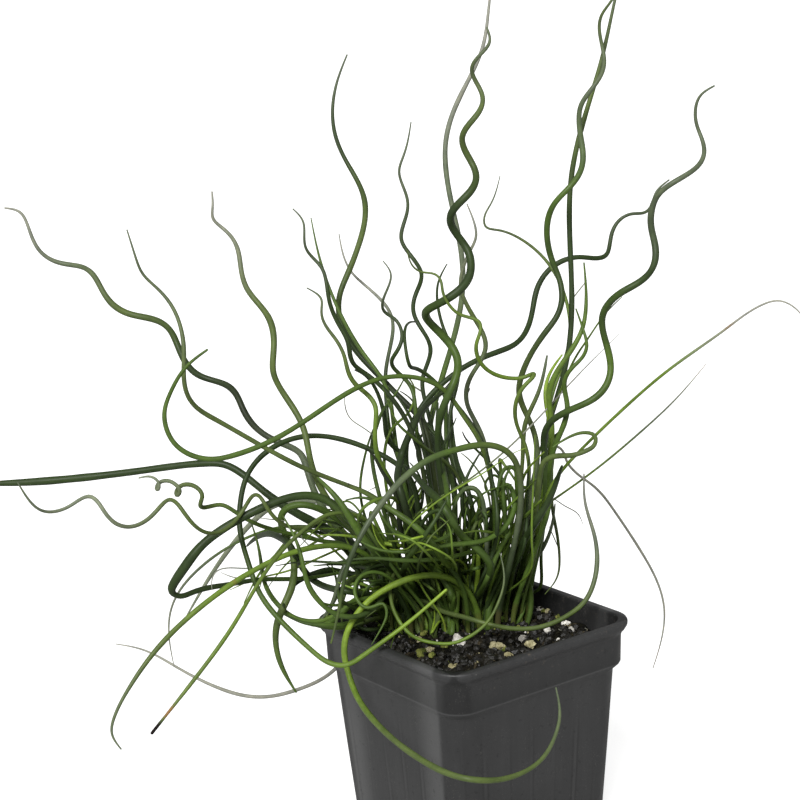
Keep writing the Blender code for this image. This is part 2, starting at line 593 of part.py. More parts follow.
def rounded_square(half, radius):
    """Corner-rounded square outline, anticlockwise from the middle of the +X side."""
    outline = [(half, 0.0)]
    for quarter in range(4):
        centre = math.radians(45 + 90 * quarter)
        reach = (half - radius) * math.sqrt(2)
        middle = (reach * math.cos(centre), reach * math.sin(centre))
        for step in range(corner_steps + 1):
            angle = math.radians(90 * quarter + 90 * step / corner_steps)
            outline.append((middle[0] + radius * math.cos(angle),
                            middle[1] + radius * math.sin(angle)))
        if quarter < 3:
            turn = math.radians(90 * (quarter + 1))
            outline.append((half * math.cos(turn), half * math.sin(turn)))
    return outline


def loft(name, rings, collection, surface, smooth_angle=35):
    """Closed shape through rings of equal count, with a cap on the first and the last."""
    mesh = bmesh.new()
    loops = [[mesh.verts.new(point) for point in ring] for ring in rings]
    for low, high in zip(loops, loops[1:]):
        for i in range(len(low)):
            k = (i + 1) % len(low)
            mesh.faces.new((low[i], low[k], high[k], high[i]))
    mesh.faces.new(loops[0][::-1])
    mesh.faces.new(loops[-1])
    bmesh.ops.recalc_face_normals(mesh, faces=mesh.faces)
    data = bpy.data.meshes.new(name)
    mesh.to_mesh(data)
    mesh.free()
    data.materials.append(surface)
    data.shade_smooth()
    data.set_sharp_from_angle(angle=math.radians(smooth_angle))
    made = bpy.data.objects.new(name, data)
    collection.objects.link(made)
    return made


def ring_at(half, radius, height):
    return [(x, y, height) for x, y in rounded_square(half, radius)]


def inner_half(height):
    """Half width of the pot's inside at a height above its underside."""
    levels = [0, pot_height - band_height - step_height, pot_height - band_height, pot_height]
    halves = [foot_half, body_half, band_low_half, band_half]
    return float(np.interp(height, levels, halves)) - wall


def inner_corner(height):
    """Radius of the inside's corners, which follow the band above and the body below."""
    levels = [pot_height - band_height - step_height, pot_height - band_height]
    return float(np.interp(height, levels, [body_corner, band_corner])) - wall


def make_pot(collection, cutters):
    plastic = material("black_pot_plastic", (0.035, 0.036, 0.038), 0.55)
    top = pot_height
    outside = [
        (foot_half - 0.0012, body_corner - 0.0012, 0.0),
        (foot_half, body_corner, 0.0012),
        (body_half, body_corner, top - band_height - step_height),
        (band_low_half, band_corner, top - band_height),
        (band_half, band_corner, top - lip_height),
        (rim_half - 0.0004, rim_corner, top - lip_height + 0.0006),
        (rim_half, rim_corner, top - 0.5 * lip_height),
        (rim_half - 0.0008, rim_corner, top - 0.0008),
        (rim_half - 0.0020, rim_corner - 0.0012, top),
    ]
    inside = [
        (band_half - wall + 0.0006, band_corner, top),
        (band_half - wall, inner_corner(top), top - 0.0008),
    ]
    levels = (top - band_height, top - band_height - step_height, wall)
    inside += [(inner_half(z), inner_corner(z), z) for z in levels]
    rings = [ring_at(half, radius, z) for half, radius, z in outside + inside]
    pot = loft("pot", rings, collection, plastic)
    for k in range(4):
        angle = math.radians(45 + 90 * k)
        reach = drain_offset * math.sqrt(2)
        place = (reach * math.cos(angle), reach * math.sin(angle), 0)
        cut_hole(pot, place, cutters)
    return pot


def cut_hole(pot, place, cutters):
    """A round drain hole through the floor of the pot."""
    mesh = bmesh.new()
    bmesh.ops.create_cone(mesh, cap_ends=True, segments=12, radius1=drain_radius,
                          radius2=drain_radius, depth=4 * wall)
    data = bpy.data.meshes.new("drain_hole_cutter")
    mesh.to_mesh(data)
    mesh.free()
    cutter = bpy.data.objects.new("drain_hole_cutter", data)
    cutter.location = place
    cutter.hide_render = True
    cutter.display_type = "WIRE"
    cutters.objects.link(cutter)
    cut = pot.modifiers.new("drain hole", "BOOLEAN")
    cut.operation = "DIFFERENCE"
    cut.object = cutter


def crown_share(x, y):
    """1 inside the clump of stems, falling to 0 a little way outside it."""
    place = np.array([x, y])
    across = float(place @ ground_across) - crown_centre[0]
    toward = float(place @ ground_toward) - crown_centre[1]
    reach = math.hypot(across / crown_radii[0], toward / crown_radii[1])
    return min(1.0, max(0.0, (1.42 - reach) / 0.22))


def soil_top(x, y):
    """Height of the soil: a flat crown under the stems and low lumps around it."""
    share = crown_share(x, y)
    lump = math.sin(310 * x + 1.3) * math.cos(270 * y) + 0.6 * math.sin(620 * x - 540 * y)
    level = pot_height - soil_edge_depth + lump_height * lump * 0.6
    return share * (pot_height - crown_depth) + (1 - share) * level


def make_soil(collection):
    dark = material("dark_soil", (0.022, 0.016, 0.012), 0.95)
    low = wall + fit_gap
    levels = [low, pot_height - band_height - step_height, pot_height - band_height,
              pot_height - soil_edge_depth - 0.0015]
    rings = []
    for z in levels:
        rings.append(ring_at(inner_half(z) - fit_gap, inner_corner(z) - fit_gap, z))
    for share in (0.97, 0.86, 0.74, 0.62, 0.49, 0.36, 0.22, 0.10):
        half = (inner_half(pot_height - soil_edge_depth) - fit_gap) * share
        ring = rounded_square(half, (inner_corner(pot_height) - fit_gap) * share)
        rings.append([(x, y, soil_top(x, y)) for x, y in ring])
    return loft("soil", rings, collection, dark, 60)


def make_stem(name, points, radii, collection, surface):
    """A slender tube with a point's radius following the stem's taper."""
    data = bpy.data.curves.new(name, "CURVE")
    data.dimensions = "3D"
    data.bevel_depth = 1.0
    data.bevel_resolution = tube_sides_resolution
    data.use_fill_caps = True
    data.twist_mode = "MINIMUM"
    spline = data.splines.new("POLY")
    spline.points.add(len(points) - 1)
    for node, place, radius in zip(spline.points, points, radii):
        node.co = (*place, 1)
        node.radius = radius
    data.materials.append(surface)
    made = bpy.data.objects.new(name, data)
    collection.objects.link(made)
    return made


def main():
    for old in list(bpy.data.objects):
        bpy.data.objects.remove(old, do_unlink=True)
    plant = bpy.data.collections.new("potted_soft_rush")
    cutters = bpy.data.collections.new("cutters")
    bpy.context.scene.collection.children.link(plant)
    bpy.context.scene.collection.children.link(cutters)
    make_pot(plant, cutters)
    make_soil(plant)
    green = material("rush_green", (0.075, 0.150, 0.030), 0.45)
    feet = settled_feet()
    paths = [stem_path(stem, feet[name]) for name, stem in stems.items()]
    radii = [stem_radius(stem, len(path)) for stem, path in zip(stems.values(), paths)]
    paths = keep_apart(paths, radii)
    for name, path, radius in zip(stems, paths, radii):
        points, sizes = thinned(path, radius)
        make_stem(name, points, sizes, plant, green)


main()
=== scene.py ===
import math

import bpy
import numpy as np
from mathutils import Matrix, Vector


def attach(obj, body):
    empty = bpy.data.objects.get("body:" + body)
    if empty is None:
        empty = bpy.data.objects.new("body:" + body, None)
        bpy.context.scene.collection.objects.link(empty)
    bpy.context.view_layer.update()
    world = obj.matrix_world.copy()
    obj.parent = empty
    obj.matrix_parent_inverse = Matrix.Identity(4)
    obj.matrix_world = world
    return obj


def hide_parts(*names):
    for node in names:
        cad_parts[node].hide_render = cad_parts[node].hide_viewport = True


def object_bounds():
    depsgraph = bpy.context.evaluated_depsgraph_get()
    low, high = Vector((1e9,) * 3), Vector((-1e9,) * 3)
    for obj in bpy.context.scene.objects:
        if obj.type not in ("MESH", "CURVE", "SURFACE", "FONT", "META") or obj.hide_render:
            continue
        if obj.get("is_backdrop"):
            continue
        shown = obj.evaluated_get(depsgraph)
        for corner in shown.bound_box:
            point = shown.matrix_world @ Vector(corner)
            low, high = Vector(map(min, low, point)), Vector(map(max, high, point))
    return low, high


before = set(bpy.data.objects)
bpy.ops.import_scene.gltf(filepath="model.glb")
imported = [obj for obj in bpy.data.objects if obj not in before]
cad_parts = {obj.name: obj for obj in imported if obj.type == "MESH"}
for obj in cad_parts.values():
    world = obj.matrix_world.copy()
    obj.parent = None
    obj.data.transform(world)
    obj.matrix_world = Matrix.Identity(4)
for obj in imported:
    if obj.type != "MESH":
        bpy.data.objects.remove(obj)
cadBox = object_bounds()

# Potted corkscrew rush: a square black nursery pot, crumbly soil and a mop of curled stems.
# Metres, +Z up, the pot's underside on z = 0.

studio = {
    "azimuth": -36.50,         # degrees, where the camera stands round the pot
    "elevation": 14.10,
    "roll": -2.68,
    "distance": 0.9188,        # from the middle of the rim
    "aimRight": -0.02555,
    "aimUp": 0.09224,
    "focalPixels": 2200.0,     # for a picture 800 pixels wide
    "picturePixels": 800.0,
    "sensor": 36.0,            # mm
    "clip": (0.01, 50.0),      # the nearest and farthest that the camera sees
    "rimHeight": 0.0920,
    "floorHalf": 6.0,
    "floorColour": (0.50, 0.50, 0.495),
    "floorRoughness": 0.9,
    "floorGlow": 0.80,         # added only where the camera sees the floor
    "skyColour": (1.0, 1.0, 1.0),
    "skyStrength": 0.33,       # what lights the plant
    "backdropStrength": 1.0,   # what the camera sees
    "sunStrength": 4.0,
    "sunAngle": 24.0,
    "sunFrom": (-0.95, -0.68, 0.95),
}


def cameraFrame():
    # the way back to the lens from its two angles, then right and up turned by the roll
    azimuth, elevation, roll = (math.radians(studio[k]) for k in ("azimuth", "elevation", "roll"))
    back = np.array([math.sin(azimuth) * math.cos(elevation),
                     -math.cos(azimuth) * math.cos(elevation), math.sin(elevation)])
    right = np.array([math.cos(azimuth), math.sin(azimuth), 0.0])
    up = np.cross(back, right)
    lens = right * studio["aimRight"] + up * studio["aimUp"] + back * studio["distance"]
    lens[2] += studio["rimHeight"]
    return (lens, back, math.cos(roll) * right + math.sin(roll) * up,
            math.cos(roll) * up - math.sin(roll) * right)


lensPlace, lensBack, lensRight, lensUp = cameraFrame()
groundAcross = np.array([math.cos(math.radians(studio["azimuth"])),
                         math.sin(math.radians(studio["azimuth"]))])
groundToward = np.array([groundAcross[1], -groundAcross[0]])


def fromPicture(pixels, away):
    # points that show at the pixels, at the given distances before the lens
    pixels = np.asarray(pixels, float)
    middle = studio["picturePixels"] / 2
    ray = (lensRight * (pixels[:, :1] - middle) + lensUp * (middle - pixels[:, 1:])) \
        / studio["focalPixels"] - lensBack
    return lensPlace + ray * np.asarray(away, float).reshape(-1, 1)


def toPicture(points):
    # the pixel of each point and its distance before the lens
    ray = points - lensPlace
    away = -(ray @ lensBack)
    middle, scale = studio["picturePixels"] / 2, studio["focalPixels"] / away
    return np.stack([middle + scale * (ray @ lensRight), middle - scale * (ray @ lensUp)], -1), away


def onLevel(pixels, height):
    # where the line of sight through each pixel meets a level plane
    ray = fromPicture(pixels, np.ones(len(pixels))) - lensPlace
    return lensPlace + ray * ((height - lensPlace[2]) / ray[:, 2:])


def newObject(name, data):
    made = bpy.data.objects.new(name, data)
    bpy.context.scene.collection.objects.link(made)
    return made


def seenByCamera(tree):
    return tree.nodes.new("ShaderNodeLightPath").outputs["Is Camera Ray"]


def makeStudio():
    camera = newObject("camera", bpy.data.cameras.new("camera"))
    camera.data.sensor_width = studio["sensor"]
    camera.data.lens = studio["focalPixels"] / studio["picturePixels"] * studio["sensor"]
    camera.data.clip_start, camera.data.clip_end = studio["clip"]
    turn = Matrix([list(row) for row in np.stack([lensRight, lensUp, lensBack], 1)]).to_4x4()
    camera.matrix_world = Matrix.Translation(Vector(lensPlace)) @ turn
    bpy.context.scene.camera = camera

    half = studio["floorHalf"]
    floor = bpy.data.meshes.new("floor")
    floor.from_pydata([(-half, -half, 0), (half, -half, 0), (half, half, 0), (-half, half, 0)],
                      [], [(0, 1, 2, 3)])
    paper, tree, shader = newMaterial("paleFloor")
    shader.inputs["Base Color"].default_value = (*studio["floorColour"], 1)
    shader.inputs["Roughness"].default_value = studio["floorRoughness"]
    shader.inputs["Emission Color"].default_value = (1, 1, 1, 1)
    tree.links.new(times(tree, seenByCamera(tree), studio["floorGlow"]),
                   shader.inputs["Emission Strength"])
    floor.materials.append(paper)
    floorObject = newObject("floor", floor)
    floorObject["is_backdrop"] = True

    lamp = bpy.data.lights.new("keyLight", "SUN")
    lamp.energy, lamp.angle = studio["sunStrength"], math.radians(studio["sunAngle"])
    light = newObject("keyLight", lamp)
    light.rotation_euler = Vector(studio["sunFrom"]).to_track_quat("Z", "Y").to_euler()

    world = bpy.data.worlds.new("softSky")
    world.use_nodes = True
    tree = world.node_tree
    sky = tree.nodes["Background"]
    sky.inputs["Color"].default_value = (*studio["skyColour"], 1)
    # the backdrop looks white, while what lights the plant is softer
    extra = studio["backdropStrength"] - studio["skyStrength"]
    seen = times(tree, seenByCamera(tree), extra)
    tree.links.new(calc(tree, "ADD", seen, studio["skyStrength"]), sky.inputs["Strength"])
    bpy.context.scene.world = world
    bpy.context.scene.view_settings.view_transform = "Standard"


def gridFaces(rows, columns):
    # quads of a sheet of rows by columns points that closes round its columns
    row, column = np.meshgrid(np.arange(rows - 1), np.arange(columns), indexing="ij")
    after = (column + 1) % columns
    low, high = row * columns, (row + 1) * columns
    return np.stack([low + column, low + after, high + after, high + column], -1).reshape(-1, 4)


def closedFaces(rows, columns):
    # the sheet above, with its first and last rows each drawn in to one pole point
    sides = gridFaces(rows, columns)
    column = np.arange(columns)
    after = (column + 1) % columns
    first, last = rows * columns, rows * columns + 1
    top = (rows - 1) * columns
    start = np.stack([np.full(columns, first), after, column], 1)
    end = np.stack([np.full(columns, last), top + column, top + after], 1)
    return sides, np.concatenate([start, end])


def meshFrom(name, points, quads, triangles, attributes=None, smooth=True):
    mesh = bpy.data.meshes.new(name)
    mesh.vertices.add(len(points))
    mesh.vertices.foreach_set("co", np.asarray(points, np.float32).ravel())
    corners = np.concatenate([quads.ravel(), triangles.ravel()]).astype(np.int32)
    sizes = np.concatenate([np.full(len(quads), 4), np.full(len(triangles), 3)])
    mesh.loops.add(len(corners))
    mesh.loops.foreach_set("vertex_index", corners)
    mesh.polygons.add(len(sizes))
    starts = np.concatenate([[0], np.cumsum(sizes)[:-1]])
    mesh.polygons.foreach_set("loop_start", starts.astype(np.int32))
    mesh.polygons.foreach_set("use_smooth", np.full(len(sizes), smooth))
    for label, values in (attributes or {}).items():
        layer = mesh.attributes.new(label, "FLOAT_VECTOR", "POINT")
        layer.data.foreach_set("vector", np.asarray(values, np.float32).ravel())
    mesh.update(calc_edges=True)
    mesh.validate()
    return mesh


def addPiece(name, mesh, finish, stands=()):
    mesh.materials.append(finish)
    piece = newObject(name, mesh)
    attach(piece, "root")
    if stands:
        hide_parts(*stands)
    return piece


def unit(vectors):
    return vectors / (np.linalg.norm(vectors, axis=-1, keepdims=True) + 1e-12)


def valueNoise(x, y, size, seed):
    # random heights on a square lattice, eased between its corners by 3t^2 - 2t^3
    period = 97                # corners after which the lattice repeats
    table = np.random.default_rng(seed).random((period, period))
    u, v = x / size + 400.3, y / size + 400.7      # shifted, so that none is negative
    column, row = np.floor(u).astype(int), np.floor(v).astype(int)
    u, v = u - column, v - row
    u, v = u * u * (3 - 2 * u), v * v * (3 - 2 * v)
    corner = lambda i, j: table[(row + j) % period, (column + i) % period]
    low = corner(0, 0) * (1 - u) + corner(1, 0) * u
    high = corner(0, 1) * (1 - u) + corner(1, 1) * u
    return low * (1 - v) + high * v


def addNode(tree, kind, inputs=None, **settings):
    node = tree.nodes.new(kind)
    for key, value in settings.items():
        setattr(node, key, value)
    for key, value in (inputs or {}).items():
        if isinstance(value, bpy.types.NodeSocket):
            tree.links.new(value, node.inputs[key])
        else:
            node.inputs[key].default_value = value
    return node


def calc(tree, operation, first, second=0.0):
    return addNode(tree, "ShaderNodeMath", {0: first, 1: second}, operation=operation).outputs[0]


def times(tree, first, second):
    return calc(tree, "MULTIPLY", first, second)


def less(tree, first, second):
    return calc(tree, "SUBTRACT", first, second)


def blendColour(tree, share, first, second, mode="MIX"):
    colour = [value if isinstance(value, bpy.types.NodeSocket) else (*value, 1)
              for value in (first, second)]
    return addNode(tree, "ShaderNodeMix", {0: share, 6: colour[0], 7: colour[1]},
                   data_type="RGBA", blend_type=mode).outputs[2]


def tinted(tree, mask, amount, colour, tint, mode="MIX"):
    # the colour drawn toward the tint by the mask times an amount
    return blendColour(tree, times(tree, mask, amount), colour, tint, mode)


def fadeBetween(tree, value, low, high):
    # 0 under the low limit and 1 over the high one, with a soft step between
    return addNode(tree, "ShaderNodeMapRange", {"Value": value, "From Min": low, "From Max": high},
                   interpolation_type="SMOOTHSTEP").outputs[0]


def noiseAt(tree, place, scale, detail=3.0, roughness=0.5):
    return addNode(tree, "ShaderNodeTexNoise", {"Vector": place, "Scale": scale,
                   "Detail": detail, "Roughness": roughness}).outputs["Fac"]


def stretched(tree, place, factors):
    return addNode(tree, "ShaderNodeVectorMath", {0: place, 1: factors},
                   operation="MULTIPLY").outputs[0]


def objectPlace(tree):
    return addNode(tree, "ShaderNodeTexCoord").outputs["Object"]


def attributeAt(tree, label):
    return addNode(tree, "ShaderNodeAttribute", attribute_name=label).outputs["Vector"]


def axesOf(tree, vector):
    return addNode(tree, "ShaderNodeSeparateXYZ", {0: vector}).outputs


def newMaterial(name):
    made = bpy.data.materials.new(name)
    made.use_nodes = True
    return made, made.node_tree, made.node_tree.nodes["Principled BSDF"]


def bumpInto(tree, shader, height, strength, distance):
    bump = addNode(tree, "ShaderNodeBump",
                   {"Strength": strength, "Distance": distance, "Height": height})
    tree.links.new(bump.outputs[0], shader.inputs["Normal"])


def newGroup(name, inputs, outputs):
    tree = bpy.data.node_groups.new(name, "ShaderNodeTree")
    for label, kind, value in inputs:
        socket = tree.interface.new_socket(name=label, in_out="INPUT", socket_type=kind)
        if value is not None:
            socket.default_value = value
    for label, kind in outputs:
        tree.interface.new_socket(name=label, in_out="OUTPUT", socket_type=kind)
    return tree, tree.nodes.new("NodeGroupInput").outputs, tree.nodes.new("NodeGroupOutput").inputs


def placeGroup(tree, group, inputs):
    return addNode(tree, "ShaderNodeGroup", inputs, node_tree=group).outputs


# the effects that several finishes share; limits are where a soft step starts and ends
sharedLooks = {
    "mottle": {"finer": 5.0, "broadShare": 0.65, "fineShare": 0.35, "limits": (0.32, 0.68)},
    "ridges": {"squeeze": 0.025, "detail": 2.0, "roughness": 0.6},
    "dust": {"detail": 4.0, "roughness": 0.7, "speckLimits": (0.58, 0.72), "coarser": 0.06,
             "cloudLimits": (0.35, 0.70)},
}


def makeGroups():
    number, vector = "NodeSocketFloat", "NodeSocketVector"
    # mottling: two sizes of noise, added and centred on a half
    look = sharedLooks["mottle"]
    mottle, given, out = newGroup("softMottle", [("Place", vector, None),
                                  ("Size", number, 300.0)], [("Mask", number)])
    broad = noiseAt(mottle, given["Place"], given["Size"], 2.0)
    fine = noiseAt(mottle, given["Place"], times(mottle, given["Size"], look["finer"]), 3.0)
    both = calc(mottle, "ADD", times(mottle, broad, look["broadShare"]),
                times(mottle, fine, look["fineShare"]))
    mottle.links.new(fadeBetween(mottle, both, *look["limits"]), out["Mask"])
    # lengthwise ridges: noise whose place is squeezed along the stem, so it draws out in lines
    look = sharedLooks["ridges"]
    ridges, given, out = newGroup("lengthRidges", [("Skin", vector, None),
                                  ("Size", number, 5200.0)], [("Height", number)])
    drawn = stretched(ridges, given["Skin"], (1.0, 1.0, look["squeeze"]))
    lines = noiseAt(ridges, drawn, given["Size"], look["detail"], look["roughness"])
    ridges.links.new(lines, out["Height"])
    # dust: fine specks where a high noise passes its limit, gathered in broad clouds
    look = sharedLooks["dust"]
    dust, given, out = newGroup("looseDust", [("Place", vector, None),
                                ("Size", number, 900.0), ("Amount", number, 0.3)],
                                [("Mask", number)])
    specks = noiseAt(dust, given["Place"], given["Size"], look["detail"], look["roughness"])
    specks = fadeBetween(dust, specks, *look["speckLimits"])
    broad = noiseAt(dust, given["Place"], times(dust, given["Size"], look["coarser"]), 2.0)
    gathered = times(dust, specks, fadeBetween(dust, broad, *look["cloudLimits"]))
    dust.links.new(times(dust, gathered, given["Amount"]), out["Mask"])
    return {"mottle": mottle, "ridges": ridges, "dust": dust}


makeStudio()
groups = makeGroups()
print("studio and shared node groups are ready")


potBuild = {
    "half": 0.0500,            # across the flats of the rim
    "lipHeight": 0.0034,
    "bandHalf": 0.0470,
    "bandLowHalf": 0.0466,
    "bandHeight": 0.0184,
    "stepHeight": 0.0028,
    "bodyHalf": 0.0449,
    "footHalf": 0.0402,
    "height": 0.0920,
    "wall": 0.0014,
    "rimCorner": 0.0139,
    "bandCorner": 0.0102,
    "bodyCorner": 0.0120,
    "cornerSteps": 14,
    "flatSteps": 20,
    "drainRadius": 0.0040,
    "drainOffset": 0.0215,
    "drainSides": 32,
    "drainCut": 0.004,         # how far each hole's cutter reaches up and down
    "underHalf": 0.0320,       # the flat middle of the underside and of the floor inside
    "underCorner": 0.0080,
    "fitGap": 0.0003,          # between the pot and the soil
    "sharpAngle": 50.0,        # degrees, past which an edge is drawn sharp
}

# limits are where a soft step starts and ends
potLook = {
    "plastic": (0.0265, 0.0265, 0.0270),
    # the plastic's pale film, also used for the painted highlight and sheen
    "bloomAndHighlightColour": (0.080, 0.080, 0.080),
    "dustColour": (0.17, 0.165, 0.15),
    "grimeColour": (0.12, 0.10, 0.08),
    "shine": 0.40,
    "roughness": (0.44, 0.14, 0.3),      # plain, then added by the clouds and by dust
    "outside": (0.0385, 0.0395),         # distance from the axis
    "ribSpacing": 0.139,                 # ribs at the odd multiples of this share of the half width
    "ribLimits": (0.84, 0.97),           # in shares of the spacing
    "grooveLimits": (0.62, 0.80, 0.90),
    "ribFade": (0.040, 0.072),           # height over which the ribs end
    "ribBreaks": (0.40, 0.62),
    # where the painted highlight along the band's lower edge lies
    "edgeLine": (-0.0007, -0.0002, 0.0001, 0.0006),      # heights from the band's foot
    # where the painted sheen strip beside each corner starts and ends; the painted shade follows it
    "sheenStart": (0.34, 0.66),          # in shares of the half width
    "sheenEnd": (0.715, 0.775),
    "cornerShade": (0.45, 0.95),
    "shadeStrength": 0.30,
    "bandFrom": (0.071, 0.075),
    "bandLifted": 0.85,                  # share of the shade that the band is spared
    "breakNoise": (150.0, 3.0),          # each noise's scale, detail and roughness
    "streakNoise": (240.0, 4.0, 0.6),
    "fleckNoise": (330.0, 4.0, 0.65),
    "grainNoise": (2600.0, 3.0, 0.6),
    "streakSqueeze": 0.06,
    "streakLimits": (0.38, 0.72),
    "fleckLimits": (0.60, 0.68),
    "cloudSize": 45.0,
    "dust": {"Size": 1500.0, "Amount": 0.55},
    "grime": {"Size": 420.0, "Amount": 0.8},
    "grimeHeights": (0.074, 0.092),
    "insideWidths": (0.0462, 0.0472),
    "insideHeights": (0.0735, 0.0745),
    "bump": (0.3, 0.00014),              # strength and depth
    "bumpShares": (0.35, 0.35, 1.6),     # of the grain, the streaks and the ribs
    # the streaks and clouds are the plastic's own paler film; the strip, ribs and edge shares are
    # painted highlight
    "paler": (0.07, 0.10, 0.80, 0.16, 0.45),     # for streaks, clouds, strip, ribs and edge
    # painted shade in the grooves beside the ribs
    "grooveShade": (0.5, 0.45),               # how strong, and the grey that darkens it
    "flecks": (0.5, 0.35),
    # painted shade on the inside wall below the rim
    "inside": (0.8, 0.25),
    "shadeGrey": 0.30,
}

soilBuild = {
    "rings": 84,
    "flatSteps": 58,
    "edgeDepth": 0.0095,
    "crownDepth": 0.0080,
    "crownCentre": (-0.0065, -0.0200),   # across the view, toward the viewer
    "crownRadii": (0.0310, 0.0190),
    "crownEdge": (1.42, 0.22),           # where the crown ends in shares of its radii, and how wide
    "feetWithin": 0.93,                  # share of the crown's radii that holds the stems' feet
    "lumps": ((0.0090, 0.0018), (0.0042, 0.0030), (0.0018, 0.0016)),   # size, height
    "lumpSeed": 40,
    "wallTop": 0.0022,                   # how far the soil's side ends below its level
    "topShares": (0.985, 0.012),         # the first and last ring of its top
    "cornerReach": 0.010,                # the corners of the pot that loose bits keep out of
    "cornerRadius": 0.008,
    "finish": ("darkSoil", (0.002, 0.0019, 0.0014), (0.008, 0.007, 0.004), 0.9),
}


def squareRings(halves, radii, heights, flats):
    # each level is a square with rounded corners: four quarter circles about the corner
    # centres, and even steps along the flats between them
    halves, radii, heights = (np.asarray(v, float)[:, None] for v in (halves, radii, heights))
    angle = np.radians(np.linspace(0, 90, potBuild["cornerSteps"] + 1))
    share = (np.arange(1, flats) / flats)[None, :, None]
    rings = []
    for quarter in range(4):
        turned, centre = angle + quarter * math.pi / 2, math.radians(45 + 90 * quarter)
        reach = (halves - radii) * math.sqrt(2)
        arc = np.stack([reach * math.cos(centre) + radii * np.cos(turned),
                        reach * math.sin(centre) + radii * np.sin(turned)], -1)
        nextStart = arc[:, :1] @ np.array([[0.0, 1.0], [-1.0, 0.0]])
        rings += [arc, arc[:, -1:] * (1 - share) + nextStart * share]
    rings = np.concatenate(rings, 1)
    return np.concatenate([rings, np.broadcast_to(heights[..., None], (*rings.shape[:2], 1))], -1)


def betweenLevels(height, values):
    # a measure of the pot at any height: at its foot, under the step, at the band's foot, on top
    top = potBuild["height"]
    band = top - potBuild["bandHeight"]
    return np.interp(height, [0, band - potBuild["stepHeight"], band, top], values)


def innerHalf(height):
    # the pot's inside is its outside less the wall
    halves = [potBuild[k] for k in ("footHalf", "bodyHalf", "bandLowHalf", "bandHalf")]
    return betweenLevels(height, halves) - potBuild["wall"]


def innerCorner(height):
    corners = [potBuild[k] for k in ("bodyCorner", "bodyCorner", "bandCorner", "bandCorner")]
    return betweenLevels(height, corners) - potBuild["wall"]


def soilLevel(x, y):
    # a flat crown under the stems that falls to the level of the rest, with lumps on both
    spot = np.stack([x, y], -1)
    across = spot @ groundAcross - soilBuild["crownCentre"][0]
    toward = spot @ groundToward - soilBuild["crownCentre"][1]
    reach = np.hypot(across / soilBuild["crownRadii"][0], toward / soilBuild["crownRadii"][1])
    edge, width = soilBuild["crownEdge"]
    share = np.clip((edge - reach) / width, 0, 1)
    depth = share * soilBuild["crownDepth"] + (1 - share) * soilBuild["edgeDepth"]
    level = studio["rimHeight"] - depth
    for k, (size, height) in enumerate(soilBuild["lumps"]):
        level = level + height * (valueNoise(x, y, size, soilBuild["lumpSeed"] + k) - 0.5)
    return level


stemBuild = {
    "step": 0.0012,            # along a stem
    "sides": 10,
    "sunk": 0.0035,            # how far each foot goes into the soil
    "footHeight": 0.0843,
    "swell": 0.045,            # share of the radius
    "swellWaves": (260, 97),   # radians in a metre of the two waves that swell it
    "sheathLength": (0.005, 0.012),
    "sheathWidth": 1.18,
    "sheathEase": (0.0012, 0.0015),      # over which its width and its colour end
    "markEase": 0.012,         # share of the length over which a mark starts and ends
    "grainShift": 3.0,         # metres at most by which a strand's pattern is moved
    "pathEase": 1.5,           # points over which a strand that was pushed aside is smoothed
    "lighter": 1.12,           # factor on all greens
    "tones": "leaf leaf leaf",           # of a stem that has none of its own below
    "seeds": (500, 700, 900),  # of the named stems, those beside them and the picture's routes
}

rushLook = {
    "patchSize": 170.0,
    "patches": (0.55, (0.45, 0.48, 0.50)),       # how strong and what they multiply by
    "ridgeSize": 5200.0,
    "ridgeLimits": (0.48, 0.72),
    "ridges": (0.45, (1.85, 1.70, 1.35)),
    "bloomSize": 55.0,
    "bloom": (0.06, (0.13, 0.15, 0.11)),
    "brown": (0.270, 0.105, 0.028),
    "sheath": (0.35, (0.120, 0.095, 0.030)),
    "char": (0.010, 0.007, 0.006),
    "roughness": (0.40, 0.14, 0.5),      # plain, then added by the bloom and by char
    "shine": 0.20,
    "bump": (0.25, 0.00007),             # strength and depth
}

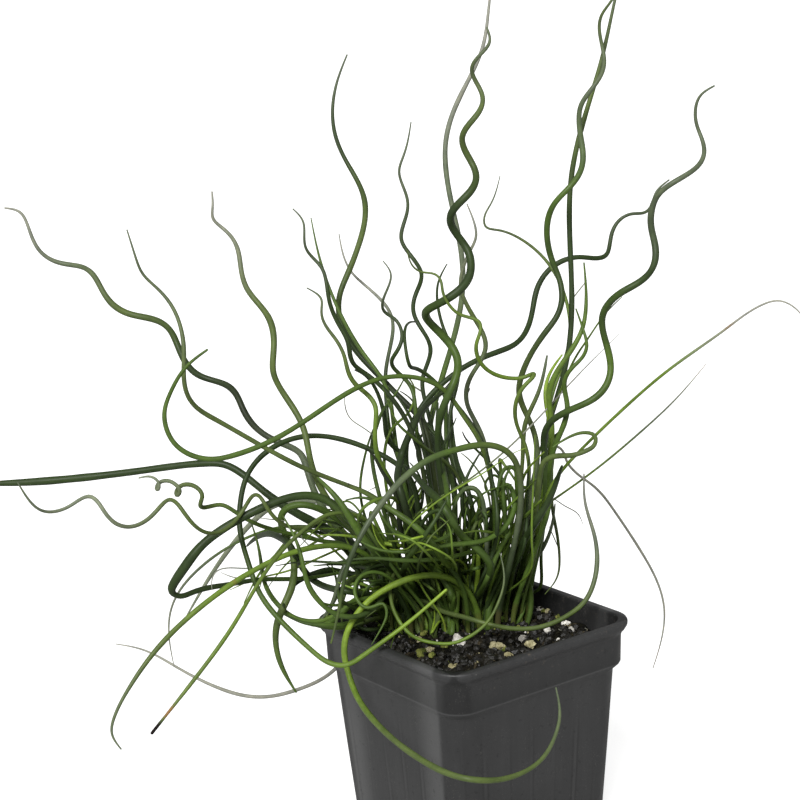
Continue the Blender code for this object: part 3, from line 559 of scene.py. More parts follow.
# how the drawn stem differs from its solid's radius: share of the length, then the factor there
stemWidths = {
    "pale_short_stem": ((0, 1.0), (0.5, 1.1), (0.85, 1.9), (0.97, 2.6), (1, 2.2)),
    "lower_right_thin_stem": ((0, 0.75), (1, 0.72)),
    "crossing_hair_stem": ((0, 0.8), (0.4, 0.65), (1, 0.60)),
    "drooping_right_stem": ((0, 1.0), (0.3, 0.85), (1, 0.85)),
    "big_left_loop": ((0, 1.0), (0.75, 1.0), (0.95, 1.35), (1, 1.9)),
    "dark_wavy_stem": ((0, 0.85), (0.28, 0.85), (0.42, 1.12), (0.6, 1.08), (0.7, 1.0), (1, 1.0)),
    "long_right_stem": ((0, 1.0), (0.3, 0.85), (1, 0.72)),
    "yellow_green_corkscrew": ((0, 1.25), (0.35, 1.35), (0.6, 1.05), (1, 1.0)),
    "left_bow_stem": ((0, 0.9), (0.4, 0.88), (0.7, 1.0), (1, 1.5)),
    "front_hanging_loop": ((0, 1.0), (0.30, 0.88), (1, 0.88)),
    "thick_bent_stem": ((0, 1.0), (0.45, 1.05), (0.62, 1.25), (0.645, 1.1), (0.665, 0.72),
                        (0.8, 0.7), (1, 1.1)),
    "grey_arch_stem": ((0, 0.92), (1, 0.92)),
    "tall_straight_stem": ((0, 0.85), (0.2, 0.78), (1, 0.78)),
    "right_curly_stem": ((0, 0.92), (1, 0.92)),
    "thick_left_stem": ((0, 1.0), (0.08, 1.45), (0.25, 1.30), (0.4, 1.0), (0.70, 1.0),
                        (0.965, 1.9), (0.975, 2.3), (0.985, 1.9), (1, 1.9)),
    "brown_tipped_stem": ((0, 1.0), (0.70, 1.0), (0.96, 1.7), (1, 2.9)),
    "loop_left_of_pot": ((0, 1.0), (0.35, 1.25), (0.60, 1.2), (0.95, 1.6), (1, 1.2)),
    "left_wavy_stem": ((0, 1.0), (0.70, 1.05), (0.95, 1.5), (1, 1.3)),
    "small_corkscrew_stem": ((0, 1.0), (0.70, 1.0), (0.95, 1.4), (1, 1.2)),
}

threads = {
    "sides": 7,
    "hairSides": 5,
    "step": 0.0016,
    "hairStep": 0.0008,
    "foot": 0.85,              # share of the thickness at the foot
    "footEnds": 0.15,          # share of the length where the foot is over
    "tip": 0.30,               # share of the thickness at the tip
    "tipLength": 0.30,         # share of the length that tapers
    "bright": (0.8, 1.35),
    "turn": 1.5,               # half turns at most that the sway makes from foot to tip
    "curlFrom": 0.02,          # metres over which the curl sets in
    "atMost": 0.85,            # share of the stem that a strand beside it can reach
    "fewest": 20,              # points
    "waveless": 0.010,         # metres over which the stem's own waves are smoothed out
    "swell": (0.35, 1.15, 0.8),          # start, reach and power of the sway's swelling
    "rightEdge": ((400, 572), (480, 560), (540, 536)),   # pixel row, column
    "upright": dict(count=2, length=(0.032, 0.078), thick=(0.0014, 0.0032), sway=(0.0020, 0.0070),
                    wave=(0.026, 0.060), curl=(0.0006, 0.0028)),
    "twining": dict(count=1, length=(0.050, 0.095), thick=(0.0012, 0.0022), sway=(0.0030, 0.0075),
                    wave=(0.034, 0.058), curl=(0.0030, 0.0065)),
    "nest": dict(lean=0.20, size=(0.62, 0.98), width=(0.65, 1.05), shift=(0.014, 0.008)),
}

# the plant's greens, from the darkest to the dried ones
greens = {
    "deep": (0.024, 0.042, 0.011),
    "leaf": (0.060, 0.105, 0.016),
    "bright": (0.115, 0.185, 0.022),
    "lime": (0.200, 0.300, 0.030),
    "olive": (0.078, 0.110, 0.029),
    "grey": (0.098, 0.120, 0.072),
    "mist": (0.185, 0.210, 0.140),
    "wisp": (0.250, 0.250, 0.210),
    "dark": (0.016, 0.022, 0.009),
    "straw": (0.160, 0.115, 0.045),
}

# each stem's greens, evenly spaced from its foot to its tip; along some stems the lighter and
# darker greens are partly painted highlight and painted shade
stemTones = {
    "far_left_stem": "leaf leaf grey dark deep olive grey wisp",
    "upper_left_thin_stem": "deep olive olive grey",
    "left_bow_stem": "deep olive leaf leaf leaf",
    "olive_corkscrew_stem": "leaf olive olive olive wisp",
    "tall_dark_stem": "leaf olive dark deep olive deep grey",
    "slim_left_corkscrew": "olive leaf dark deep deep grey",
    "slim_left_companion": "deep leaf leaf",
    "yellow_green_corkscrew": "deep deep leaf bright olive grey",
    "faint_middle_stem": "dark deep leaf deep deep grey wisp wisp",
    "middle_corkscrew": "leaf deep leaf deep grey",
    "upright_thin_corkscrew": "deep deep deep grey",
    "hooked_green_stem": "leaf olive bright olive",
    "short_middle_stem": "leaf deep deep",
    "curling_centre_stem": "deep olive grey olive wisp",
    "blurred_tall_stem": "olive olive leaf grey grey wisp wisp",
    "dark_wavy_stem": "leaf dark deep leaf deep deep olive grey",
    "tall_straight_stem": "deep dark deep deep olive grey",
    "tall_twining_stem": "deep grey olive deep leaf grey olive",
    "right_curly_stem": "leaf leaf deep leaf deep grey grey",
    "right_kinked_stem": "deep deep deep deep deep grey",
    "bent_pale_stem": "leaf leaf leaf bright olive grey",
    "sliver_stem": "leaf bright leaf",
    "twisted_right_stem": "leaf leaf leaf",
    "pale_short_stem": "deep deep leaf olive olive grey",
    "long_right_stem": "leaf olive bright bright bright wisp wisp",
    "lower_right_thin_stem": "leaf olive bright grey wisp",
    "crossing_hair_stem": "lime bright olive wisp wisp",
    "drooping_right_stem": "leaf grey wisp wisp wisp wisp",
    "arc_over_soil": "deep olive olive olive grey wisp",
    "front_hanging_loop": "leaf bright lime bright olive olive olive grey",
    "big_left_loop": "leaf deep deep deep deep leaf bright lime",
    "thin_soil_loop": "leaf olive olive bright bright olive grey",
    # the grey toward its tip is painted highlight on its left leg
    "grey_arch_stem": "dark deep grey olive leaf grey deep olive",
    "thick_left_stem": "deep deep deep deep",
    "left_wavy_stem": "leaf leaf olive olive olive mist grey",
    "small_corkscrew_stem": "deep leaf leaf olive mist",
    "thick_bent_stem": "leaf leaf deep deep deep leaf",
    "long_lower_left_arc": "deep leaf bright bright olive grey",
    "brown_tipped_stem": "leaf bright olive bright olive",
    "faint_low_stem": "olive wisp wisp",
    "thin_grey_stem": "deep deep leaf grey wisp",
    "blurred_left_stem": "leaf deep mist mist mist mist",
    "loop_left_of_pot": "leaf leaf leaf olive leaf",
    "small_right_loop": "deep leaf leaf olive olive leaf",
    "thin_back_droop": "deep olive",
    "left_rim_stem": "deep deep grey",
    "left_slant_stem": "leaf bright",
    "olive_rim_stem": "deep deep leaf leaf",
    "small_arch_stem": "leaf grey leaf",
    "inner_arch_stem": "deep leaf leaf",
    "short_rim_stem": "leaf leaf leaf deep",
    "long_nest_arc": "leaf leaf leaf",
    "low_nest_arc": "leaf leaf leaf deep",
    "curled_nest_stem": "leaf deep deep leaf leaf",
    "front_nest_stem": "leaf leaf deep leaf deep",
    "crossing_nest_stem": "leaf deep deep leaf leaf",
    "rim_curl_stem": "deep leaf leaf leaf",
}

# dried tips, scars and folds: start and stop as shares of the stem, how strong, and which mark
stemMarks = {
    "brown_tipped_stem": [(0.93, 0.965, 0.75, 0), (0.965, 1.05, 1.0, 2)],
    "long_right_stem": [(0.80, 0.83, 0.35, 0)],
    "long_lower_left_arc": [(0.549, 0.562, 0.9, 0)],
    "thick_left_stem": [(0.965, 0.985, 0.5, 0)],
    "lower_right_thin_stem": [(0.94, 1.05, 0.25, 0)],
    "drooping_right_stem": [(0.94, 1.05, 0.2, 0)],
}

# how many copies of a stem of the nest fill it out, and the least and most they are turned
nestStems = {
    "long_nest_arc": (5, 0.1, 0.5), "low_nest_arc": (5, 0.1, 0.5),
    "curled_nest_stem": (5, 0.8, 2.8), "front_nest_stem": (6, 0.5, 2.6),
    "crossing_nest_stem": (6, 0.4, 2.4), "small_arch_stem": (5, 0.4, 2.6),
    "inner_arch_stem": (3, 0.6, 2.6), "rim_curl_stem": (2, 0.3, 1.0),
    "olive_rim_stem": (2, 0.3, 0.9), "left_slant_stem": (3, 0.2, 0.9),
}
# stems that the picture shows in front of the finer ones
frontStems = ("front_hanging_loop", "big_left_loop", "thin_soil_loop", "arc_over_soil",
              "grey_arch_stem", "left_bow_stem", "long_nest_arc", "low_nest_arc",
              "front_nest_stem", "short_rim_stem", "rim_curl_stem", "dark_wavy_stem",
              "tall_twining_stem", "thick_bent_stem")
# those before all others, from these shares of their length on
leadStems = {"front_hanging_loop": 0.04, "big_left_loop": 0.60, "thin_soil_loop": 0.10,
             "arc_over_soil": 0.10, "grey_arch_stem": 0.05}
# stems that a finer one twines round, and those that stand more alone
twinedStems = ("olive_corkscrew_stem", "slim_left_corkscrew", "yellow_green_corkscrew",
               "middle_corkscrew", "upright_thin_corkscrew", "dark_wavy_stem",
               "curling_centre_stem", "tall_twining_stem", "right_curly_stem",
               "twisted_right_stem", "tall_dark_stem", "hooked_green_stem", "short_middle_stem",
               "slim_left_companion")
sparseStems = ("tall_straight_stem", "tall_twining_stem", "right_curly_stem", "sliver_stem",
               "twisted_right_stem", "long_right_stem", "drooping_right_stem", "small_right_loop",
               "thin_back_droop", "short_straight_stem", "bent_pale_stem", "inner_arch_stem")
# the greens that finer stems and nest copies are given at random
threadTones = ("leaf deep deep", "bright leaf deep", "olive olive leaf", "leaf leaf deep",
               "leaf deep leaf", "bright leaf leaf", "leaf leaf leaf", "olive leaf leaf",
               "deep deep deep", "bright olive leaf")
nestTones = ("leaf bright lime", "leaf bright bright", "bright leaf deep", "leaf leaf bright",
             "leaf deep leaf", "bright leaf leaf", "olive bright olive", "bright lime bright",
             "leaf deep leaf", "leaf olive grey")

# finer stems that the picture shows: tip-first pixels, thickness in mm, greens foot to tip
routedThreads = [
    ([(355, 370), (371, 381), (381, 402), (385, 423), (388, 441), (401, 453), (410, 480)], 2.2,
      "deep deep"),
    ([(381, 414), (368, 444), (362, 469), (360, 489)], 1.2, "deep leaf"),
    ([(417, 322), (405, 345), (408, 362), (420, 370), (440, 387), (446, 410)], 1.9, "leaf deep"),
    ([(406, 375), (415, 389), (410, 411), (397, 423)], 1.4, "leaf bright"),
    ([(388, 386), (406, 409), (415, 428), (422, 444), (429, 476), (434, 510)], 2.0, "deep deep"),
    ([(443, 388), (429, 405), (422, 418), (429, 428), (436, 435), (445, 455), (452, 480)], 2.2,
      "leaf deep"),
    ([(452, 400), (452, 423), (454, 444), (459, 469), (468, 490), (474, 520)], 2.0, "deep deep"),
    ([(482, 450), (468, 474), (462, 494), (465, 520), (470, 530)], 1.8, "deep deep"),
    ([(461, 453), (477, 469), (486, 485), (489, 497)], 0.9, "olive olive"),
    ([(450, 508), (464, 490), (477, 490), (480, 506), (468, 529)], 1.6, "leaf bright"),
    ([(404, 379), (397, 392), (386, 406), (377, 425), (372, 445)], 1.8, "deep leaf"),
    ([(453, 399), (466, 416), (479, 436), (486, 452), (490, 470)], 2.0, "deep deep"),
    ([(400, 391), (408, 396), (414, 402), (417, 412), (421, 425), (425, 442)], 1.4, "deep grey"),
    ([(388, 418), (390, 432), (395, 446), (400, 458), (406, 470)], 1.6, "deep leaf"),
    ([(447, 392), (447, 405), (443, 418), (440, 430), (444, 444), (450, 456)], 1.3, "deep deep"),
    ([(562, 471), (556, 480), (550, 494), (539, 511), (517, 547), (503, 573)], 2.8, "leaf leaf"),
    ([(562, 355), (547, 380), (545, 393), (549, 418), (552, 440)], 2.4, "leaf lime"),
    ([(564, 391), (568, 407), (564, 428), (554, 438), (548, 460)], 2.2, "leaf deep"),
    ([(622, 297), (605, 314), (587, 340), (574, 360), (560, 392)], 1.0, "leaf bright"),
    ([(555, 504), (551, 529), (539, 554), (516, 573), (493, 586)], 1.9, "leaf grey"),
    ([(247, 546), (256, 538), (271, 534), (284, 540), (293, 550), (305, 572), (340, 590)], 2.9,
      "deep deep"),
    ([(283, 606), (289, 590), (303, 578), (320, 572), (335, 571), (355, 575), (375, 580)], 3.0,
      "deep deep"),
    ([(342, 622), (342, 601), (347, 587), (356, 578), (370, 575), (391, 575), (402, 585)], 2.6,
      "leaf olive"),
    ([(230, 590), (259, 578), (288, 571), (312, 561), (332, 552), (350, 548), (372, 560)], 1.0,
      "bright lime"),
    ([(300, 546), (320, 525), (332, 512), (345, 500), (365, 520)], 0.9, "leaf bright"),
    ([(259, 580), (269, 566), (281, 550), (300, 535), (340, 530), (370, 550)], 0.9, "leaf bright"),
]

# the same for those that show before the rest of the clump
routedFront = [
    ([(535, 435), (533, 494), (532, 545), (531, 570)], 1.0, "leaf bright bright"),
    ([(458, 366), (453, 380), (443, 392), (430, 402), (420, 413), (413, 427), (407, 440),
      (402, 453), (399, 466), (398, 482)], 3.0, "deep dark deep dark"),
    ([(438, 403), (437, 416), (437, 430), (438, 444), (441, 458), (444, 474), (447, 492)], 2.5,
      "deep leaf deep"),
    ([(383, 388), (390, 408), (397, 423), (410, 435), (424, 447), (438, 457), (452, 468)], 1.6,
      "leaf olive leaf"),
    ([(526, 448), (517, 451), (494, 466), (468, 482), (441, 499), (425, 511), (416, 519)], 0.8,
      "leaf bright lime"),
    ([(562, 466), (559, 474), (555, 486), (549, 500), (540, 515), (530, 531), (520, 548),
      (512, 566)], 3.0, "leaf deep deep"),
    ([(512, 466), (506, 474), (503, 490), (504, 508), (506, 526), (508, 545)], 2.2, "deep leaf"),
    ([(384, 560), (372, 548), (364, 534), (358, 520), (366, 505), (382, 498), (398, 503)], 1.5,
      "leaf bright leaf"),
    ([(350, 487), (365, 493), (380, 502), (395, 512), (410, 522), (424, 534), (435, 547),
      (443, 560), (455, 573)], 2.7, "leaf bright leaf olive"),
    ([(318, 478), (326, 486), (340, 502), (352, 521), (365, 540), (378, 554), (390, 566),
      (402, 580)], 3.7, "leaf leaf deep leaf leaf"),
    ([(376, 560), (388, 559), (400, 559), (412, 560), (430, 559), (446, 560), (466, 566)], 1.1,
      "bright lime lime"),
    ([(388, 541), (400, 541), (412, 539), (424, 536), (438, 540), (452, 552)], 1.1,
      "leaf lime lime"),
    ([(372, 524), (376, 538), (384, 549), (392, 553), (404, 552), (416, 558)], 1.1,
      "leaf bright lime"),
    ([(378, 533), (392, 534), (402, 536), (414, 541), (424, 550)], 1.0, "leaf bright bright"),
    ([(438, 516), (445, 520), (449, 524), (451, 532), (452, 545)], 1.1, "leaf bright"),
    ([(446, 501), (441, 510), (434, 522), (426, 534), (418, 545), (410, 555), (405, 566),
      (402, 578)], 2.6, "leaf deep leaf deep"),
    ([(404, 465), (417, 478), (430, 492), (443, 506), (451, 519), (459, 532), (470, 543),
      (484, 555)], 3.2, "deep deep leaf deep deep"),
    ([(366, 448), (373, 454), (379, 466), (386, 478), (393, 488), (398, 500), (399, 516)], 2.2,
      "deep dark dark"),
    ([(411, 555), (421, 551), (432, 549), (440, 554), (447, 562), (456, 572)], 1.2,
      "leaf lime lime"),
    ([(390, 549), (400, 550), (410, 547), (418, 542), (427, 545)], 0.9, "leaf bright lime"),
    ([(434, 606), (435, 616), (434, 624), (431, 634)], 1.0, "lime lime"),
    ([(372, 606), (382, 603), (390, 604), (389, 614), (383, 626), (377, 638)], 1.6,
      "leaf bright leaf"),
    ([(376, 610), (368, 616), (361, 627), (354, 637)], 1.1, "leaf olive"),
    ([(403, 581), (410, 591), (418, 600), (428, 608), (440, 618)], 2.0, "deep grey leaf"),
    ([(440, 590), (445, 600), (448, 613), (450, 626), (452, 636)], 2.6, "leaf leaf leaf"),
    ([(448, 583), (458, 589), (467, 600), (474, 612), (480, 624)], 2.4, "leaf leaf bright"),
    ([(431, 602), (428, 594), (420, 583), (411, 577), (400, 580)], 1.2, "leaf lime lime"),
    ([(484, 446), (488, 462), (492, 480), (496, 500), (497, 530)], 1.8, "deep deep"),
    ([(464, 533), (478, 531), (494, 533), (506, 542)], 1.2, "leaf bright bright"),
    ([(529, 456), (528, 480), (527, 515), (521, 556)], 1.3, "deep deep"),
    ([(544, 452), (534, 462), (526, 472), (521, 485), (519, 505)], 1.3, "leaf bright lime"),
    ([(536, 479), (524, 492), (512, 503), (504, 514), (500, 530)], 1.2, "leaf bright"),
    ([(541, 500), (530, 512), (517, 524), (505, 540), (496, 556), (490, 572)], 2.2,
      "leaf leaf bright"),
    ([(449, 520), (440, 528), (431, 536), (424, 548)], 1.1, "leaf olive"),
    ([(512, 484), (500, 487), (487, 491), (476, 500), (470, 515)], 1.1, "deep leaf"),
]

# hairs that leave a stem: tip-first pixels that end on the stem, and thickness in mm
routedHairs = [
    ([(345, 390), (346, 410), (350, 418), (367, 437)], 0.5),
    ([(212, 590), (212, 580), (216, 572), (228, 568), (250, 567)], 0.6),
    ([(220, 572), (240, 578), (255, 576)], 0.5),
    ([(583, 525), (578, 514), (565, 506), (553, 499)], 0.5),
    ([(349, 483), (352, 474)], 0.6),
    ([(368, 491), (378, 488), (379, 500)], 0.6),
    ([(301, 530), (302, 538), (310, 545)], 0.5),
    ([(258, 518), (285, 520)], 0.5),
    ([(549, 526), (558, 549)], 0.5),
    ([(410, 384), (419, 394)], 0.8),
    ([(470, 388), (478, 396)], 0.8),
    ([(587, 280), (574, 300)], 0.6),
]


def rushMaterial():
    made, tree, shader = newMaterial("rushSkin")
    skin = attributeAt(tree, "skin")
    hue = attributeAt(tree, "hue")
    marks = axesOf(tree, attributeAt(tree, "marks"))
    mottle = placeGroup(tree, groups["mottle"],
                        {"Place": skin, "Size": rushLook["patchSize"]})["Mask"]
    ridges = placeGroup(tree, groups["ridges"],
                        {"Skin": skin, "Size": rushLook["ridgeSize"]})["Height"]
    # the stem's own green, darker in soft patches
    amount, tint = rushLook["patches"]
    colour = tinted(tree, mottle, amount, hue, tint, "MULTIPLY")
    # fine lines: the ridges' tops lighter and yellower
    amount, tint = rushLook["ridges"]
    colour = tinted(tree, fadeBetween(tree, ridges, *rushLook["ridgeLimits"]), amount, colour, tint,
                    "MULTIPLY")
    # waxy bloom: a thin grey-green film in broad clouds
    bloom = placeGroup(tree, groups["mottle"],
                       {"Place": skin, "Size": rushLook["bloomSize"]})["Mask"]
    amount, tint = rushLook["bloom"]
    colour = tinted(tree, bloom, amount, colour, tint)
    # marks: brown for dried tips and scars, straw for the sheath at the foot, black for char
    brown, sheath, char = marks[:3]
    colour = blendColour(tree, brown, colour, rushLook["brown"])
    amount, tint = rushLook["sheath"]
    colour = tinted(tree, sheath, amount, colour, tint)
    colour = blendColour(tree, char, colour, rushLook["char"])
    tree.links.new(colour, shader.inputs["Base Color"])
    plain, fromBloom, fromChar = rushLook["roughness"]
    rough = calc(tree, "ADD", plain, times(tree, bloom, fromBloom))
    rough = calc(tree, "ADD", rough, times(tree, char, fromChar))
    tree.links.new(rough, shader.inputs["Roughness"])
    shader.inputs["Specular IOR Level"].default_value = rushLook["shine"]
    bumpInto(tree, shader, ridges, *rushLook["bump"])
    return made


def ringLine(node):
    # the solid's ring middles from foot to tip, found by walking its edges away from the foot
    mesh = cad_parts[node].data
    place = np.empty(len(mesh.vertices) * 3)
    mesh.vertices.foreach_get("co", place)
    place = place.reshape(-1, 3)
    _, first, back = np.unique(np.round(place, 6), axis=0, return_index=True, return_inverse=True)
    points, back = place[first], back.reshape(-1)
    mesh.calc_loop_triangles()
    corners = np.empty(len(mesh.loop_triangles) * 3, int)
    mesh.loop_triangles.foreach_get("vertices", corners)
    corners = back[corners].reshape(-1, 3)
    linked = np.zeros((len(points), len(points)), bool)
    for a, b in ((0, 1), (1, 2), (2, 0)):
        linked[corners[:, a], corners[:, b]] = linked[corners[:, b], corners[:, a]] = True
    level = np.where(np.abs(points[:, 2] - stemBuild["footHeight"]) < 2e-5, 0, -1)
    now, count = level == 0, 0
    while now.any():
        count += 1
        now = linked[now].any(0) & (level < 0)
        level[now] = count
    middles = np.stack([points[level == k].mean(0) for k in range(count)])
    radii = np.array([np.linalg.norm(points[level == k] - middles[k], axis=1).mean()
                      for k in range(count)])
    return middles, radii


def curveThrough(points, values, step):
    # natural cubic spline over chord lengths; the second slopes solve one banded system
    chords = np.linalg.norm(np.diff(points, axis=0), axis=1)
    knots = np.concatenate([[0.0], np.cumsum(chords)])
    size = len(points)
    inner = np.arange(1, size - 1)
    system, target = np.eye(size), np.zeros_like(points)
    system[inner, inner - 1], system[inner, inner + 1] = chords[:-1], chords[1:]
    system[inner, inner] = 2 * (chords[:-1] + chords[1:])
    slopes = np.diff(points, axis=0) / chords[:, None]
    target[inner] = 6 * (slopes[1:] - slopes[:-1])
    bends = np.linalg.solve(system, target)
    at = np.linspace(0, knots[-1], max(8, int(knots[-1] / step)))
    piece = np.clip(np.searchsorted(knots, at, side="right") - 1, 0, size - 2)
    gap = chords[piece][:, None]
    left, right = (knots[piece + 1] - at)[:, None], (at - knots[piece])[:, None]
    line = (bends[piece] * left ** 3 + bends[piece + 1] * right ** 3) / (6 * gap)
    line += (points[piece] / gap - bends[piece] * gap / 6) * left
    line += (points[piece + 1] / gap - bends[piece + 1] * gap / 6) * right
    return line, np.interp(at, knots, values)


def smoothed(line, reach):
    # a running mean with a bell weight; the ends are held by mirroring the line about them
    size = min(int(3 * reach), len(line) - 2)
    weights = np.exp(-0.5 * (np.arange(-size, size + 1) / reach) ** 2)
    weights /= weights.sum()
    padded = np.concatenate([2 * line[0] - line[size:0:-1], line,
                             2 * line[-1] - line[-2:-size - 2:-1]])
    return np.stack([np.convolve(padded[:, k], weights, "valid") for k in range(3)], -1)


def carriedFrames(line):
    # two directions square to the path; the twist that a fixed reference gives from ring to
    # ring is measured against the least turn between them, summed, and taken back out
    ahead = unit(np.gradient(line, axis=0))
    side = unit(np.cross(ahead, (0.31, 0.87, 0.39)))
    before, after = ahead[:-1], ahead[1:]
    axis = np.cross(before, after)
    cosine = (before * after).sum(1, keepdims=True)
    moved = side[:-1] * cosine + np.cross(axis, side[:-1])
    moved += axis * (axis * side[:-1]).sum(1, keepdims=True) / (1 + cosine)
    twist = np.arctan2((np.cross(moved, side[1:]) * after).sum(1), (moved * side[1:]).sum(1))
    angle = -np.concatenate([[0.0], np.cumsum(twist)])[:, None]
    side = np.cos(angle) * side + np.sin(angle) * np.cross(ahead, side)
    return ahead, side, np.cross(ahead, side)


def tubeAlong(line, radii, sides):
    # at each point of the path a circle of the given radius; both ends round off to a pole
    ahead, side, up = carriedFrames(line)
    ends = np.array([0.5, 0.87])
    low = line[0] - ahead[0] * radii[0] * ends[::-1, None]
    high = line[-1] + ahead[-1] * radii[-1] * ends[:, None]
    path = np.concatenate([low, line, high])
    width = np.concatenate([radii[0] * ends, radii, radii[-1] * ends[::-1]])
    side = np.concatenate([side[:1], side[:1], side, side[-1:], side[-1:]])
    up = np.concatenate([up[:1], up[:1], up, up[-1:], up[-1:]])
    angle = np.arange(sides) * 2 * math.pi / sides
    around = (side[:, None] * np.cos(angle)[None, :, None]
              + up[:, None] * np.sin(angle)[None, :, None])
    rings = path[:, None] + around * width[:, None, None]
    run = np.concatenate([[0.0], np.cumsum(np.linalg.norm(np.diff(path, axis=0), axis=1))])
    skin = np.stack([width[:, None] * np.cos(angle), width[:, None] * np.sin(angle),
                     np.repeat(run[:, None], sides, 1)], -1)
    poles = np.stack([line[0] - ahead[0] * radii[0], line[-1] + ahead[-1] * radii[-1]])
    points = np.concatenate([rings.reshape(-1, 3), poles])
    skin = np.concatenate([skin.reshape(-1, 3), [[0, 0, 0], [0, 0, run[-1]]]])
    quads, triangles = closedFaces(len(path), sides)
    return points, skin, run, quads, triangles


def strand(line, radii, sides, tones, random, bright=1.0, scars=None, sheath=0.0):
    # one stem's mesh arrays, with its green at each point from the named ones along it
    points, skin, run, quads, triangles = tubeAlong(line, radii, sides)
    run = np.concatenate([np.repeat(run, sides), [0.0, run[-1]]])
    share = run / run.max()
    skin = skin + random.uniform(0, stemBuild["grainShift"], 3)
    stops = np.array([greens[name] for name in tones.split()])
    at = share * (len(stops) - 1)
    hue = np.stack([np.interp(at, np.arange(len(stops)), stops[:, k]) for k in range(3)], -1)
    hue = hue * bright * stemBuild["lighter"]
    marks = np.zeros((len(share), 3))
    ease = stemBuild["markEase"]
    for start, stop, amount, channel in (scars or ()):
        rise = np.clip((share - start) / ease, 0, 1) * np.clip((stop - share) / ease, 0, 1)
        marks[:, channel] = np.maximum(marks[:, channel], amount * rise)
    if sheath:
        past = sheath + stemBuild["sunk"] - run
        marks[:, 1] = np.clip(past / stemBuild["sheathEase"][1], 0, 1)
    return points, quads, triangles, skin, hue, marks


def joined(parts):
    # several strands as one mesh: the faces of each count on from the points before it
    starts = np.cumsum([0] + [len(part[0]) for part in parts[:-1]])
    points = np.concatenate([part[0] for part in parts])
    quads = np.concatenate([part[1] + start for part, start in zip(parts, starts)])
    triangles = np.concatenate([part[2] + start for part, start in zip(parts, starts)])
    attributes = {label: np.concatenate([part[3 + k] for part in parts])
                  for k, label in enumerate(("skin", "hue", "marks"))}
    return points, quads, triangles, attributes


def footBelow(place):
    # the nearest spot of the crown to a place above it, at the depth where feet start
    centre, radii = np.array(soilBuild["crownCentre"]), np.array(soilBuild["crownRadii"])
    offset = (np.array([place[:2] @ groundAcross, place[:2] @ groundToward]) - centre) / radii
    spot = centre + offset / max(1.0, np.linalg.norm(offset) / soilBuild["feetWithin"]) * radii
    return np.array([*(spot[0] * groundAcross + spot[1] * groundToward),
                     stemBuild["footHeight"] - stemBuild["sunk"]])


# how a strand keeps off the pot and the soil
clearance = {
    "fromWall": 0.0006,        # inside this the soil bears it, and outside it the rim
    "above": 0.0002,
    "beside": 0.0004,
    "lift": 0.012,             # what hangs lower than this is pushed out instead
    "heldPoints": (4, 3),      # at the foot: how many stay, and over how many it eases in
}


def offPot(path, width):
    # lifts a strand off the soil and over the rim, and pushes what hangs lower off the outside;
    # the first few points stay, where its foot goes into the soil
    path, top, rim = path.copy(), potBuild["height"], potBuild["half"]
    reach = np.abs(path[:, :2]).max(1)
    inside = reach < innerHalf(top) - clearance["fromWall"]
    level = np.where(inside, soilLevel(path[:, 0], path[:, 1]), top) + width + clearance["above"]
    short = np.clip(level - path[:, 2], 0, None) * (reach < rim + width)
    lifted = inside | (short < clearance["lift"])
    held, easing = clearance["heldPoints"]
    loose = np.clip((np.arange(len(path)) - held) / easing, 0, 1)
    path[:, 2] += np.where(lifted, short, 0) * loose
    push = np.clip((rim + width + clearance["beside"]) / reach - 1, 0, None)
    path[:, :2] *= (1 + np.where(~lifted & (short > 0), push, 0) * loose)[:, None]
    return smoothed(path, stemBuild["pathEase"])


def taper(count, thick, foot=threads["foot"]):
    # half the thickness, slimmer at the foot and drawn out toward the tip by a power of 0.7
    at = np.linspace(0, 1, count)
    end = np.clip((1 - at) / threads["tipLength"], 0, 1) ** 0.7
    end = threads["tip"] + (1 - threads["tip"]) * end
    return 0.5 * thick * end * (foot + (1 - foot) * np.clip(at / threads["footEnds"], 0, 1))


def threadBeside(line, kind, random):
    # a finer stem that grows beside a stem: the stem's line with its waves smoothed out,
    # pushed aside by a swaying offset that swells from the foot, and curled round itself
    given = threads[kind]
    step = stemBuild["step"]
    length = min(random.uniform(*given["length"]), threads["atMost"] * step * len(line))
    count = max(threads["fewest"], int(length / step))
    middle = smoothed(line, threads["waveless"] / step)[:count]
    along = np.linspace(0, 1, len(middle))[:, None]
    _, side, up = carriedFrames(middle)
    run = along * length
    sway, curl, wave = (random.uniform(*given[k]) for k in ("sway", "curl", "wave"))
    turn = random.uniform(-threads["turn"], threads["turn"])
    start = random.uniform(0, 2 * math.pi)
    first, reach, power = threads["swell"]
    swell = first + (1 - first) * np.sin(np.clip(along * reach, 0, 1) * math.pi) ** power
    angle = start + turn * along * math.pi
    offset = sway * swell * (np.cos(angle) * side + np.sin(angle) * up)
    phase = start + 2 * math.pi * run / wave
    curl = curl * np.clip(run / threads["curlFrom"], 0, 1)
    offset += curl * (np.cos(phase) * side + np.sin(phase) * up)
    path = middle + offset
    width = taper(len(path), random.uniform(*given["thick"]))
    return offPot(path, width), width


def nestCopy(line, radii, turns, random):
    # a nest stem again: turned about the upright through its foot, leaned, made smaller, moved
    given = threads["nest"]
    lean = random.uniform(-1, 1, 2) * given["lean"]
    turn = np.array(Matrix.Rotation(random.choice((-1, 1)) * random.uniform(*turns), 3, "Z")
                    @ Matrix.Rotation(lean[0], 3, "X") @ Matrix.Rotation(lean[1], 3, "Y"))
    size = random.uniform(*given["size"])
    shift = random.uniform(-1, 1, 2) * given["shift"]
    moved = line[0, :2] + shift[0] * groundAcross + shift[1] * groundToward
    foot = footBelow(np.array([*moved, 0.0]))
    path = (line - line[0]) @ turn * size + foot
    width = radii * random.uniform(*given["width"])
    return offPot(path, width), width


